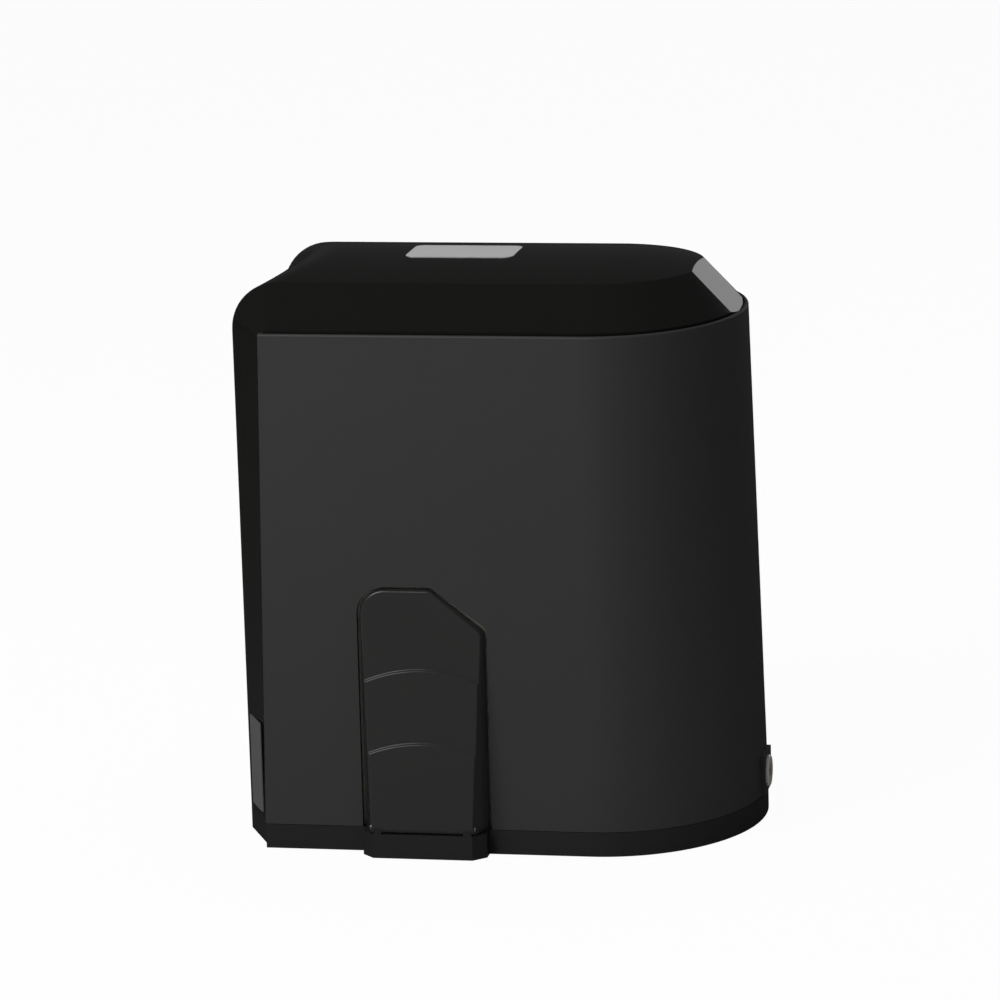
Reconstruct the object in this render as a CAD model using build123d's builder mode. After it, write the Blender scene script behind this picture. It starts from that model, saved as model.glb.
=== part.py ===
from build123d import *
from math import acos, atan, cos, hypot, pi, radians, sin, tan
import os

os.makedirs("parts", exist_ok=True)

# A sliding gate motor: a cast base with a worm gearbox, an upright motor, a control board
# and a two-piece cover. X runs along the gate, +Y points at the gate and +Z is up.
# The origin lies on the underside of the base, in the middle of its depth.

# Clearances, and how far a cut runs past the face that it opens
seat_gap = 0.3
fit_gap = 0.05
past = 1.0

# Outline of the base and cover, seen from above
half_width = 96.0
panel_left = -130.5
round_start = 54.7
round_reach = 85.3
end_x = -148.4
facet_step = 5.0
facet_run = 35.0
base_height = 13.8

# Drafted side shell
rim_z = 293.7
front_draft = 2.5
round_draft = 6.8
left_draft = 5.0
cover_wall = 3.0
rim_wall = 2.0
rebate = 2.0
rim_round = 1.2
flange_width = 10.0
flange_thickness = 2.6
flange_stop = 15.0
return_lap = 1.5
arch_gap = 5.0

# Glossy spine: crest, crease and foot of the bevel, each as a rise above the shell's rim
crest_rise = 30.8
crest_lean = 0.8
crest_corner = 50.0
crease_inset = 31.0
crease_rise = 24.0
crease_lean = 1.6
crease_corner = 27.0
bevel_inset = 7.0
bevel_rise = 1.3
bevel_corner = 6.0
foot_share = 0.43
side_share = 0.3
groove = 1.3
slope_top_inset = 34.5
slope_top_rise = 24.9
slope_foot_inset = 12.4

# Plates
badge_x = -26.8
badge_length = 61.5
badge_width = 36.0
badge_thickness = 1.2
badge_corner = 5.0
badge_sink = 0.1
side_plate_width = 24.0
side_plate_height = 52.0
side_plate_z = 43.0
side_plate_thickness = 0.6
side_plate_corner = 1.5
side_plate_lift = 0.25

# Screws: radius and height of the head, radius and length of the shank
cover_screw = (3.0, 2.4, 1.5, 8.0)
guide_screw = (3.6, 2.6, 1.9, 6.0)
plate_screw = (4.25, 4.0, 2.5, 18.0)
foot_screw = (6.5, 6.0, 3.0, 13.0)
shaft_screw = (6.5, 5.5, 4.0, 18.0)
motor_bolt = (3.6, 3.0, 2.0)
screw_gap = 0.1
socket_width = 0.5
socket_floor = 0.4
cover_screw_x = (-104.0, -24.0, 56.0)
cover_screw_inset = 6.0
cover_boss_radius = 3.6
cover_boss_height = 12.0
cover_pilot_depth = 7.0

# Base casting
floor_thickness = 5.0
lip_gap = 0.5
lip_wall = 2.0
lip_rise = 3.2
lip_clear = 4.0
lever_lip_clear = 8.0
corner_clear = (32.0, 30.0)
pad_rise = 4.0
pad_radius = 9.0
slot_inset_left = 18.5
slot_inset_right = 33.3
slot_inset_y = 38.0
slot_length = 26.0
slot_radius = 5.5
slot_boss = 5.0
slot_rim = 6.0
cable_inset = 12.5
cable_radius = 17.0
grommet_bore = 12.0
grommet_wall = 2.5
grommet_lap = 3.0
grommet_chamfer = 2.0
grommet_low = 0.5

# Release lever and the tab that carries it
lever_left = -73.0
lever_right = -2.5
lever_top = 150.5
lever_slant_x = -32.5
lever_slant_z = 127.5
lever_corner = 14.5
lever_soft_corner = 6.0
lever_reach = 14.2
lever_taper = 22.0
lever_gap = 1.5
lever_rest = 0.3
lever_skirt = 1.7
tab_reach = 14.3
tab_cut = 7.0
step_levels = (106.0, 65.0)
step_bow = 8.0
step_ledge = 1.3
panel_overlap = 15.0
panel_over = 10.0
panel_under = 20.0
panel_cut = 30.0
cap_low = -10.0
pocket_top = 112.0
pocket_knee = 28.0
pocket_front = 9.0
pocket_foot = 6.0
pocket_wall = 4.0
heel_top = 24.0
heel_low = 10.0
heel_depth = 6.0
pin_radius = 1.5
pin_lap = 2.0
knuckle_radius = 3.1
knuckle_gap = 0.8
knuckle_cut = 3.0
ear_width = 4.5
ear_inset = 7.5
ear_notch_height = 6.0
ear_notch_depth = 8.0
ear_room = 12.0

# Plate behind the lever
guide_thickness = 2.5
guide_lap = 6.0
guide_corner = 2.0
guide_foot = 16.0
guide_foot_inset = 4.0
guide_foot_thickness = 3.0
guide_screw_inset = 12.0
guide_screw_depth = 10.0
guide_bore_gap = 0.6

# Output shaft, wheel and pinion
pressure_angle = 20.0
shaft_x = -38.0
shaft_z = 78.0
shaft_radius = 12.5
nose_length = 11.0
wheel_module = 2.5
wheel_teeth = 30
wheel_y = 12.0
wheel_face = 14.0
wheel_hub_radius = 21.0
wheel_hub_length = 24.0
wheel_hub_front = 0.0
wheel_rim = 8.0
wheel_web_depth = 3.0
wheel_backlash = 0.9
wheel_dedendum = 1.2
spacer_wall = 3.5
pinion_module = 4.0
pinion_teeth = 16
pinion_width = 24.0
pinion_stand = 2.5
pinion_seat_radius = 11.0
pinion_backlash = 0.2
pinion_dedendum = 1.25
washer_radius = 16.0
washer_bore = 4.2
washer_thickness = 3.0
key_width = 6.0
key_height = 6.0
key_inset = 2.0
key_shortfall = 6.0
bearing_outer = 23.5
bearing_width = 12.0
shield_depth = 0.6
bearing_spacer_wall = 4.0
inner_bearing_y = 38.0
seal_width = 7.0
seal_gap = 1.0
seal_lip = 2.0
seal_rim = 3.0
seal_groove = 1.5
tower_radius = 30.0
tower_inset = 3.0

# Clutch
dog_radius = 19.0
dog_length = 13.6
dog_depth = 3.0
dog_size = 6.0
dog_inset = 2.0
dog_play = 0.4
dog_count = 4
dog_chamber_gap = 0.6
hex_across = 19.0
nose_play = 0.5
rod_radius = 5.0
rod_chamfer = 1.5
snout_radius = 11.0
snout_inset = 12.0
spring_room = 7.0
spring_wire = 0.9
spring_discs = 6
spring_play = 0.1
spring_bore_gap = 1.8
spring_rim = 0.8
spring_pocket_gap = 1.2

# Worm, rotor and motor
worm_pitch_radius = 10.5
worm_outer = 12.6
worm_core = 7.6
worm_turns = 6
thread_sink = 0.4
thread_root_share = 0.62
thread_tip_share = 0.34
worm_run_in = 4.0
worm_run_out = 2.0
rotor_shaft_radius = 7.5
rotor_collar = 1.5
small_bearing_outer = 17.5
lower_bearing_z = 26.0
upper_bearing_z = 112.0
small_bearing_width = 11.0
motor_radius = 56.0
motor_wall_radius = 50.0
motor_drop = 35.7
motor_cap = 16.0
motor_cap_chamfer = 2.0
motor_cap_wall = 5.0
motor_cap_boss = 4.0
motor_cap_pocket_gap = 0.5
motor_rim_height = 5.0
motor_floor = 6.0
motor_bore_gap = 1.0
motor_bolt_circle = 53.0
motor_bolt_angles = (45, 135, 225, 315)
motor_bolt_hole = 2.4
motor_ear_radius = 6.0
motor_ear_circle = 52.0
motor_ear_drop = 2.0
stator_bore = 29.6
stator_radius = 46.5
stator_lift = 22.0
winding_height = 14.0
winding_gap = 10.0
winding_inset = 3.0
winding_bore_gap = 2.0
winding_chamfer = 3.0
rotor_gap = 0.6
fin_count = 20
fin_width = 2.6
fin_sink = 1.0
fin_stop = 3.0

# Gearbox casting
gearbox_foot = 8.0
gearbox_front = -9.0
gearbox_back = 35.0
gearbox_wall = 6.0
motor_flange_z = 128.0
motor_flange_height = 9.0
front_plate = 8.0
foot_reach_left = 54.0
foot_reach_right = 60.0
foot_front = -50.0
foot_inset_back = 20.0
foot_corner = 10.0
foot_bolt_inset = 11.0
foot_hole_radius = 4.2
foot_tap_radius = 3.1
foot_tap_depth = 8.0
chamber_gap = 3.0
chamber_back = 26.0
hub_room = 4.5
gusset_x = (-14.0, 12.0)
gusset_width = 6.0
gusset_foot_inset = 8.0
gusset_knee = 8.0
gusset_knee_z = 60.0
gusset_top = 46.0
tower_rib_width = 8.0
tower_rib_inset = 6.0
tower_rib_lap = 2.0
post_width = 26.0
post_depth = 16.0
post_inset = 11.0
post_lap = 5.0
worm_bore_gap = 3.0
worm_bore_depth = 5.0
tap_depth = 12.0
plate_screw_angles = (100, 150, 200, 250)
plate_screw_inset = 4.2
plate_edge_inset = 4.8
plate_edge_z = (32.0, 108.0)
recess_depth = 3.0
recess_wall = 3.0
recess_rim = 4.5

# Limit switch
limit_z = 158.0
limit_head_radius = 9.0
limit_head_depth = 8.0
limit_head_stand = 2.0
limit_slot_gap = 3.0
limit_box_length = 46.0
limit_box_depth = 20.0
limit_box_height = 30.0
limit_box_inset = 3.0
limit_box_corner = 2.0
limit_box_wall = 4.0
limit_shaft_radius = 4.0
limit_shaft_end_gap = 1.0
limit_spring_radius = 4.2
limit_spring_length = 52.0
limit_spring_chamfer = 1.5
socket_wall = 1.3
socket_rise = 4.0
socket_depth = 6.0
socket_share = 0.6

# Control side: the carrier, the board and what stands on it, by height above the board's edge
carrier_inset = 30.5
carrier_thickness = 2.0
carrier_half = 66.0
carrier_corner = 4.0
carrier_drop = 5.7
carrier_leg_y = 28.0
carrier_leg_width = 14.0
carrier_leg_lap = 10.0
carrier_foot = 6.8
standoff_radius = 3.0
standoff_inset = 6.0
board_margin = 6.0
board_gap = 6.0
board_thickness = 1.6
board_half = 60.0
board_height = 114.0
board_corner = 3.0
chip_size = (12.0, 28.0, 3.0)
chip_place = (0.0, 47.0)
relay_size = (16.0, 20.0, 15.0, 0.8)
relay_places = ((-36.0, 82.0), (-12.0, 82.0))
terminal_size = (32.0, 11.0, 11.0, 0.6)
terminal_places = ((-38.0, 10.0), (0.0, 10.0), (38.0, 10.0))
terminal_pitch = 8.0
terminal_ways = 4
terminal_hole = 1.9
terminal_hole_depth = 1.5
receiver_size = (22.0, 42.0, 8.0, 1.0)
receiver_place = (42.0, 72.0)
fuse_size = (24.0, 9.0, 9.0, 1.5)
fuse_place = (-40.0, 37.0)
smoothing_radius = 7.0
smoothing_height = 20.0
smoothing_place = (16.0, 82.0)
switch_size = 8.0
switch_height = 5.0
switch_bore_depth = 3.0
button_place = (40.0, 37.0)
button_radius = 2.5
button_length = 5.0
button_travel = 0.5

# Transformer under the board
trafo_drop = 56.0
trafo_depth = 34.0
trafo_width = 60.0
trafo_height = 48.0
trafo_corner = 2.0
trafo_window = 38.0
trafo_yoke = 4.0
coil_height = 62.0
coil_gap = 0.2
coil_corner = 3.0
trafo_plate_drop = 52.0

# Run capacitor in its cup at the round end
capacitor_inset = 45.0
capacitor_radius = 18.0
capacitor_height = 84.0
capacitor_chamfer = 2.0
cup_wall = 2.0
cup_floor = 3.0
cup_height = 22.0
blade_size = (0.8, 6.0)
blade_y = 6.0
blade_height = 8.0

# Lock in the round end
lock_z = 25.5
lock_stand = 2.6
lock_rim = 1.6
lock_chamfer = 0.7
lock_flange_radius = 9.0
lock_barrel_radius = 6.5
lock_plug_radius = 4.6
lock_depth = 19.0
lock_nut_radius = 9.5
lock_nut_thickness = 4.0
key_slot = (1.4, 6.4)
key_slot_depth = 8.0
lock_cam_length = 17.0
lock_cam_width = 9.0
lock_cam_thickness = 3.0
lock_cam_hub = 6.0
pad_half = 13.0
pad_top = 37.0
pad_thickness = 7.0
keeper_width = 8.0
keeper_offset = 2.0
keeper_wall = 4.0
keeper_hook = 3.5
keeper_hook_y = 8.0
keeper_post_y = 20.0
keeper_hook_gap = 1.5
keeper_foot = 8.0
keeper_foot_thickness = 3.0

facet_front = half_width - facet_step
facet_back = facet_front - facet_run
round_end = round_start + round_reach
crest_z = rim_z + crest_rise
crease_z = rim_z + crease_rise
bevel_foot_z = rim_z + bevel_rise
slope_top_z = rim_z + slope_top_rise
crest_x = end_x + crest_lean
crease_x = end_x + crease_lean
crease_y = half_width - crease_inset
bevel_foot_y = half_width - bevel_inset
slope_top_x = round_end - slope_top_inset
slope_foot_x = round_end - slope_foot_inset
cover_low = base_height + seat_gap
flange_z = rim_z - rebate
lip_inset = cover_wall + lip_gap
rim_inset = lip_inset + lip_wall
drafted_height = rim_z - base_height
tail_reach = round_reach - round_draft - rim_wall - groove
slot_places = [(x, side * (half_width - slot_inset_y))
               for x in (panel_left + slot_inset_left, round_start + slot_inset_right)
               for side in (-1, 1)]
box_foot = floor_thickness + pad_rise
foot_top = box_foot + gearbox_foot
lever_front = half_width + lever_reach
lever_back = half_width - cover_wall - lever_skirt
lever_middle = (lever_left + lever_right) / 2
lever_half = (lever_right - lever_left) / 2
pivot_y = -lever_front + knuckle_radius
pivot_z = base_height + seat_gap + knuckle_radius
ear_places = (lever_left + ear_inset, lever_right - ear_inset - ear_width)
guide_front = half_width - rim_inset - seat_gap
wheel_pitch = wheel_module * wheel_teeth / 2
worm_x = shaft_x + wheel_pitch + worm_pitch_radius
tower_end = half_width - tower_inset
outer_bearing_y = tower_end - seal_width - bearing_width - 2 * seal_gap
pinion_y = half_width + pinion_stand
arch_radius = pinion_module * (pinion_teeth / 2 + 1) + arch_gap
foot_left = shaft_x - foot_reach_left
foot_right = worm_x + foot_reach_right
foot_back = half_width - foot_inset_back
foot_bolts = [(x, y) for x in (foot_left + foot_bolt_inset, foot_right - foot_bolt_inset)
              for y in (foot_front + foot_bolt_inset, foot_back - foot_bolt_inset)]
motor_top = rim_z - motor_drop
lock_face = round_end + lock_stand
pad_face = lock_face - lock_rim
pad_back = pad_face - pad_thickness


def draft_at(z, full):
    """Inward lean of a drafted wall at a height, from nothing at the seam to full at the rim."""
    return full * (z - base_height) / drafted_height


def front_plane(y):
    """Plane across Y whose sketch runs in X and Z and whose normal points at the front."""
    return Plane.XZ.offset(-y)


def level(z, x=0.0, y=0.0):
    """Horizontal plane at a height, moved to a place."""
    return Plane(origin=(x, y, z))


def shaft_plane(y):
    """Plane across the output shaft at a depth, normal to the gate, with X along the gate."""
    return Plane(origin=(shaft_x, y, shaft_z), x_dir=(1, 0, 0), z_dir=(0, 1, 0))


def save(piece, name):
    """Label a finished piece and write it to its own file."""
    piece.part.label = name
    export_step(piece.part, f"parts/{name}.step")


def side_outline(z, inset):
    """Plan outline of the side shell at a height: a straight front and back and a half ellipse."""
    y = half_width - draft_at(z, front_draft) - inset
    left = panel_left + draft_at(z, left_draft) + inset
    reach = round_reach - draft_at(z, round_draft) - inset
    with BuildSketch(level(z)) as outline:
        with BuildLine():
            Polyline((round_start, y), (left, y), (left, -y), (round_start, -y))
            EllipticalCenterArc((round_start, 0), reach, y, -90, arc_size=180)
        make_face()
    return outline.sketch


def side_volume(inset, low, high):
    """Volume inside the drafted side walls, moved in by an inset, between two heights."""
    low_face = side_outline(low, inset)
    high_face = side_outline(high, inset)
    with BuildPart() as volume:
        loft([low_face, high_face], ruled=True)
    return volume.part


def base_outline(z, inset):
    """Plan outline of the base: the side shell's front, back and round end with the faceted end."""
    y = half_width - inset
    reach = round_reach - inset
    run = hypot(facet_run, panel_left - end_x)
    across = facet_run / run
    along = (panel_left - end_x) / run
    corner = facet_back - inset * (1 - across) / along
    left = end_x + inset
    step = (half_width - facet_front - inset * (1 - along)) / across
    meet = panel_left + inset * across + step * along
    with BuildSketch(level(z)) as outline:
        with BuildLine():
            if inset > 0:
                edge = [(meet, y), (left, corner)]
            else:
                edge = [(panel_left, y), (panel_left, facet_front), (left, corner)]
            front = [(x, -side) for x, side in reversed(edge)]
            Polyline((round_start, y), *edge, *front, (round_start, -y))
            EllipticalCenterArc((round_start, 0), reach, y, -90, arc_size=180)
        make_face()
    return outline.sketch


def spine_section(foot_y, top_y, top_z, low_left, high_left, corner):
    """Side profile of the spine on a plane that leans from foot_y at the seam to top_y at top_z."""
    rise = top_z - base_height
    lean = top_y - foot_y
    length = hypot(rise, lean)
    normal = (0, -rise / length, lean / length)
    plane = Plane(origin=(0, foot_y, base_height), x_dir=(1, 0, 0), z_dir=normal)
    with BuildSketch(plane) as profile:
        with BuildLine():
            Polyline((round_start, length), (round_start, 0), (low_left, 0), (high_left, length),
                     close=True)
        make_face()
        fillet(profile.vertices().group_by(Axis.Y)[-1].sort_by(Axis.X)[0], corner)
    return profile.sketch


def spine_volume(wall):
    """Volume under the spine's skin, moved in by a wall: two bevels, a crown and the round tail."""
    foot_z = bevel_foot_z - foot_share * wall
    foot_left_x = panel_left + side_share * wall
    foot_top_x = foot_left_x + draft_at(bevel_foot_z, left_draft)
    feet = [spine_section(side * (facet_front - wall), side * (bevel_foot_y - wall), foot_z,
                          foot_left_x, foot_top_x, bevel_corner) for side in (-1, 1)]
    creases = [spine_section(side * (facet_back - side_share * wall), side * (crease_y - wall),
                             crease_z - wall, end_x + wall, crease_x + wall,
                             crease_corner - wall) for side in (-1, 1)]
    crest = spine_section(0, 0, crest_z - wall, end_x + wall, crest_x + wall,
                          crest_corner - wall)
    with BuildPart() as volume:
        loft([creases[0], crest, creases[1]])
        loft([feet[0], creases[0]], ruled=True)
        loft([feet[1], creases[1]], ruled=True)
    foot = (wall - bevel_foot_y, foot_z)
    crease = (wall - crease_y, crease_z - wall)
    top = (0, crest_z - wall)
    with BuildSketch(Plane.YZ.offset(round_start)) as tail_face:
        with BuildLine():
            Polyline((0, flange_z), (foot[0], flange_z), foot, crease)
            Bezier(crease, (crease[0] / 2, top[1]), top)
            Line(top, (0, flange_z))
        make_face()
    with BuildPart() as tail:
        revolve(tail_face.sketch, Axis((round_start, 0, 0), (0, 0, 1)), 180)
        scale(by=((tail_reach - wall) / (bevel_foot_y - wall), 1, 1), about=(round_start, 0, 0))
    slope_rise = slope_top_z - bevel_foot_z
    slope_run = slope_foot_x - slope_top_x
    shift = wall * hypot(slope_rise, slope_run) / slope_rise
    with BuildPart() as slope:
        with BuildSketch(Plane.XZ):
            with BuildLine():
                Polyline((slope_top_x - slope_run - shift, slope_top_z + slope_rise),
                         (slope_foot_x + slope_run - shift, bevel_foot_z - slope_rise),
                         (slope_foot_x + slope_run, slope_top_z + slope_rise), close=True)
            make_face()
        extrude(amount=half_width, both=True)
    with BuildPart() as whole:
        add(volume.part)
        add(tail.part)
        add(slope.part, mode=Mode.SUBTRACT)
    return whole.part


def lever_outline(y, low, grow=0.0):
    """Front outline of the release lever at a depth, from a low height to its slanted top."""
    with BuildSketch(front_plane(y)) as outline:
        with BuildLine():
            Polyline((lever_left - grow, low), (lever_left - grow, lever_top + grow),
                     (lever_slant_x, lever_top + grow), (lever_right + grow, lever_slant_z + grow),
                     (lever_right + grow, low), close=True)
        make_face()
        fillet(outline.vertices().group_by(Axis.Y)[-1].sort_by(Axis.X)[0], lever_corner + grow)
        slant_ends = [outline.vertices().group_by(Axis.Y)[-1].sort_by(Axis.X)[-1],
                      outline.vertices().group_by(Axis.Y)[1][0]]
        fillet(slant_ends, lever_soft_corner)
    return outline.sketch


def tooth_points(module, teeth, addendum, dedendum, backlash):
    """Corners of one involute tooth that points along X, from below its root to its tip."""
    pitch = module * teeth / 2
    base = pitch * cos(radians(pressure_angle))
    root = pitch - dedendum
    tip = pitch + addendum
    start = max(base, root)
    half_at_pitch = pi / (2 * teeth) - backlash / (2 * pitch)
    pitch_angle = tan(radians(pressure_angle)) - radians(pressure_angle)
    upper = [(root - past / 2, half_at_pitch + pitch_angle)]
    for share in (0, 1 / 3, 2 / 3, 1):
        radius = start + (tip - start) * share
        pressure = acos(base / radius)
        upper.append((radius, half_at_pitch + pitch_angle - (tan(pressure) - pressure)))
    points = [(r * cos(a), -r * sin(a)) for r, a in upper]
    return points + [(r * cos(a), r * sin(a)) for r, a in reversed(upper)]


def sealed_bearing(plane, bore, outside, width):
    """Shielded ball bearing: two rings with a shallow shield between them on both faces."""
    ring = (outside - bore) / 3
    with BuildPart() as bearing:
        with BuildSketch(plane):
            Circle(outside)
            Circle(bore, mode=Mode.SUBTRACT)
        extrude(amount=width)
        for face in (plane, plane.offset(width - shield_depth)):
            with BuildSketch(face):
                Circle(outside - ring)
                Circle(bore + ring, mode=Mode.SUBTRACT)
            extrude(amount=shield_depth, mode=Mode.SUBTRACT)
    return bearing


def screws(places, head_radius, head_height, shank_radius, shank_length):
    """Group of socket screws whose heads stand on the given planes and point along them."""
    with BuildPart() as group:
        for place in places:
            with BuildSketch(place):
                Circle(head_radius)
                RegularPolygon(head_radius * socket_width, 6, mode=Mode.SUBTRACT)
            extrude(amount=head_height)
            with BuildSketch(place):
                Circle(head_radius)
            extrude(amount=head_height * socket_floor)
            with BuildSketch(place):
                Circle(shank_radius)
            extrude(amount=-shank_length)
    return group


# Side shell: the matte wall round the front, the round end and the back
slot_half = limit_shaft_radius + limit_slot_gap
cover_screw_y = half_width - front_draft - cover_wall - cover_screw_inset
cover_screw_places = [Plane(origin=(x, side * cover_screw_y, flange_z - flange_thickness),
                            x_dir=(1, 0, 0), z_dir=(0, 0, -1))
                      for x in cover_screw_x for side in (-1, 1)]
shell_outer = side_volume(0, cover_low, rim_z)
shell_hollow = side_volume(cover_wall, cover_low - past, flange_z - flange_thickness)
rebate_hollow = side_volume(rim_wall, flange_z, rim_z + past)
flange_hollow = side_volume(cover_wall + flange_width, flange_z - 2 * flange_thickness, rim_z + past)
flange_left_half = half_width - cover_wall - front_draft - flange_width - past
lever_window = lever_outline(-half_width - past, 0, lever_gap)
with BuildPart() as side_shell:
    add(shell_outer)
    top_edges = side_shell.edges().group_by(Axis.Z)[-1]
    fillet(top_edges.filter_by(lambda edge: edge.center().X > panel_left + left_draft + past),
           rim_round)
    add(shell_hollow, mode=Mode.SUBTRACT)
    add(rebate_hollow, mode=Mode.SUBTRACT)
    add(flange_hollow, mode=Mode.SUBTRACT)
    with BuildSketch(level(0, panel_left)):
        Rectangle(2 * (cover_wall + left_draft + 2 * past), 2 * (facet_front - return_lap))
        Rectangle(2 * flange_stop, 2 * flange_left_half)
    extrude(amount=crest_z, mode=Mode.SUBTRACT)
    extrude(lever_window, amount=-(cover_wall + lever_reach), mode=Mode.SUBTRACT)
    with BuildSketch(front_plane(half_width + past)):
        with Locations((shaft_x, shaft_z)):
            Circle(arch_radius)
        with Locations((shaft_x, shaft_z / 2)):
            Rectangle(2 * arch_radius, shaft_z)
        with Locations((shaft_x, limit_z)):
            Circle(slot_half)
        with Locations((shaft_x, (limit_z + shaft_z) / 2)):
            Rectangle(2 * slot_half, limit_z - shaft_z)
    extrude(amount=cover_wall + lever_reach, mode=Mode.SUBTRACT)
    with BuildSketch(Plane.YZ.offset(pad_back)):
        with Locations((0, (pad_top + cover_low) / 2)):
            Rectangle(2 * pad_half, pad_top - cover_low)
    extrude(amount=pad_thickness)
    with BuildSketch(Plane.YZ.offset(pad_back - past)):
        with Locations((0, lock_z)):
            Circle(lock_barrel_radius + fit_gap)
    extrude(amount=pad_thickness + 2 * past, mode=Mode.SUBTRACT)
    for place in cover_screw_places:
        with BuildSketch(place.offset(past)):
            Circle(cover_screw[2] + 2 * screw_gap)
        extrude(amount=-flange_thickness - 2 * past, mode=Mode.SUBTRACT)
save(side_shell, "side_shell")

# Spine: the glossy roof with its bevels, crowned top, sloping tail and faceted left end
spine_outer = spine_volume(0.0)
spine_inner = spine_volume(cover_wall)
below_flange = side_volume(-seat_gap, 0, flange_z)
with BuildPart() as cover_bosses:
    for x in cover_screw_x:
        for side in (-1, 1):
            with BuildSketch(level(flange_z, x, side * cover_screw_y)):
                Circle(cover_boss_radius)
            extrude(amount=cover_boss_height)
    add(spine_outer, mode=Mode.INTERSECT)
with BuildPart() as spine_shell:
    add(spine_outer)
    add(spine_inner, mode=Mode.SUBTRACT)
    add(below_flange, mode=Mode.SUBTRACT)
    with BuildSketch(level(crest_z - badge_thickness - badge_sink, badge_x)):
        RectangleRounded(badge_length + 2 * fit_gap, badge_width + 2 * fit_gap, badge_corner)
    extrude(amount=badge_thickness + badge_sink + past, mode=Mode.SUBTRACT)
    with BuildSketch(level(0)):
        Rectangle(4 * half_width, 4 * half_width)
    extrude(amount=cover_low, mode=Mode.SUBTRACT)
    add(cover_bosses.part)
    for x in cover_screw_x:
        for side in (-1, 1):
            with BuildSketch(level(flange_z - past, x, side * cover_screw_y)):
                Circle(cover_screw[2] + screw_gap)
            extrude(amount=cover_pilot_depth + past, mode=Mode.SUBTRACT)
save(spine_shell, "spine_shell")

# Screws that hold the spine to the side shell's flange, driven from below
spine_screws = screws(cover_screw_places, *cover_screw)
save(spine_screws, "spine_screws")

# Bare plates on the roof and on the left facet
with BuildPart() as roof_badge:
    with BuildSketch(level(crest_z - badge_thickness - badge_sink, badge_x)):
        RectangleRounded(badge_length, badge_width, badge_corner - fit_gap)
    extrude(amount=badge_thickness)
save(roof_badge, "roof_badge")

facet_length = hypot(facet_run, panel_left - end_x)
facet_out = Vector(-facet_run / facet_length, -(panel_left - end_x) / facet_length, 0)
facet_middle = Vector((panel_left + end_x) / 2, -(facet_front + facet_back) / 2, side_plate_z)
plate_plane = Plane(origin=facet_middle + facet_out * side_plate_lift,
                    x_dir=(-facet_out.Y, facet_out.X, 0), z_dir=facet_out)
with BuildPart() as side_plate:
    with BuildSketch(plate_plane):
        RectangleRounded(side_plate_width, side_plate_height, side_plate_corner)
    extrude(amount=side_plate_thickness)
save(side_plate, "side_plate")

# Base tray: floor, rim with a locating lip, slotted pads and the tab under the lever
rim_face = base_outline(0, 0)
lip_face = base_outline(base_height, lip_inset)
hollow_face = base_outline(floor_thickness, rim_inset)
tab_front = half_width + tab_reach
guide_screw_y = -guide_front + guide_screw_depth
guide_screw_x = (lever_left + guide_screw_inset, lever_right - guide_screw_inset)
with BuildPart() as base_tray:
    extrude(rim_face, amount=base_height)
    extrude(lip_face, amount=lip_rise)
    with BuildSketch(level(0)):
        with BuildLine():
            Polyline((lever_left, -half_width + lip_wall), (lever_left, -tab_front + tab_cut),
                     (lever_left + tab_cut, -tab_front), (lever_right - tab_cut, -tab_front),
                     (lever_right, -tab_front + tab_cut), (lever_right, -half_width + lip_wall),
                     close=True)
        make_face()
    extrude(amount=base_height)
    extrude(hollow_face, amount=base_height + lip_rise, mode=Mode.SUBTRACT)
    with BuildSketch(level(base_height)):
        with Locations((lever_middle, -half_width)):
            Rectangle(2 * (lever_half + lever_lip_clear), 4 * rim_inset)
        with Locations((shaft_x, half_width)):
            Rectangle(2 * (arch_radius + lip_clear), 4 * rim_inset)
        with Locations((round_end, 0)):
            Rectangle(4 * rim_inset, 2 * (pad_half + lip_clear))
        with Locations((panel_left, -half_width), (panel_left, half_width)):
            Rectangle(*corner_clear)
    extrude(amount=lip_rise, mode=Mode.SUBTRACT)
    with BuildSketch(level(floor_thickness)):
        with Locations(*slot_places):
            SlotOverall(slot_length + 2 * slot_rim, 2 * (slot_radius + slot_rim), rotation=90)
    extrude(amount=slot_boss)
    with BuildSketch(level(floor_thickness)):
        with Locations(*foot_bolts):
            Circle(pad_radius)
    extrude(amount=pad_rise)
    with BuildSketch(level(0)):
        with Locations(*slot_places):
            SlotOverall(slot_length, 2 * slot_radius, rotation=90)
        with Locations((panel_left + cable_inset, 0)):
            Circle(cable_radius)
    extrude(amount=base_height, mode=Mode.SUBTRACT)
    with BuildSketch(level(box_foot - foot_tap_depth)):
        with Locations(*foot_bolts):
            Circle(foot_tap_radius)
    extrude(amount=foot_tap_depth + past, mode=Mode.SUBTRACT)
    with BuildSketch(level(0)):
        with Locations(*[(x, guide_screw_y) for x in guide_screw_x]):
            Circle(guide_screw[2] + screw_gap)
    extrude(amount=floor_thickness, mode=Mode.SUBTRACT)
    for x in ear_places:
        with BuildSketch(Plane.YZ.offset(x)):
            with Locations((pivot_y, pivot_z)):
                Circle(knuckle_radius)
            with Locations((pivot_y, (pivot_z + base_height) / 2 - past)):
                Rectangle(2 * knuckle_radius, pivot_z - base_height + 2 * past)
        extrude(amount=ear_width)
    with BuildSketch(Plane.YZ.offset(lever_left)):
        with Locations((pivot_y, pivot_z)):
            Circle(pin_radius + fit_gap)
    extrude(amount=lever_right - lever_left, mode=Mode.SUBTRACT)
save(base_tray, "base_tray")

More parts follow.
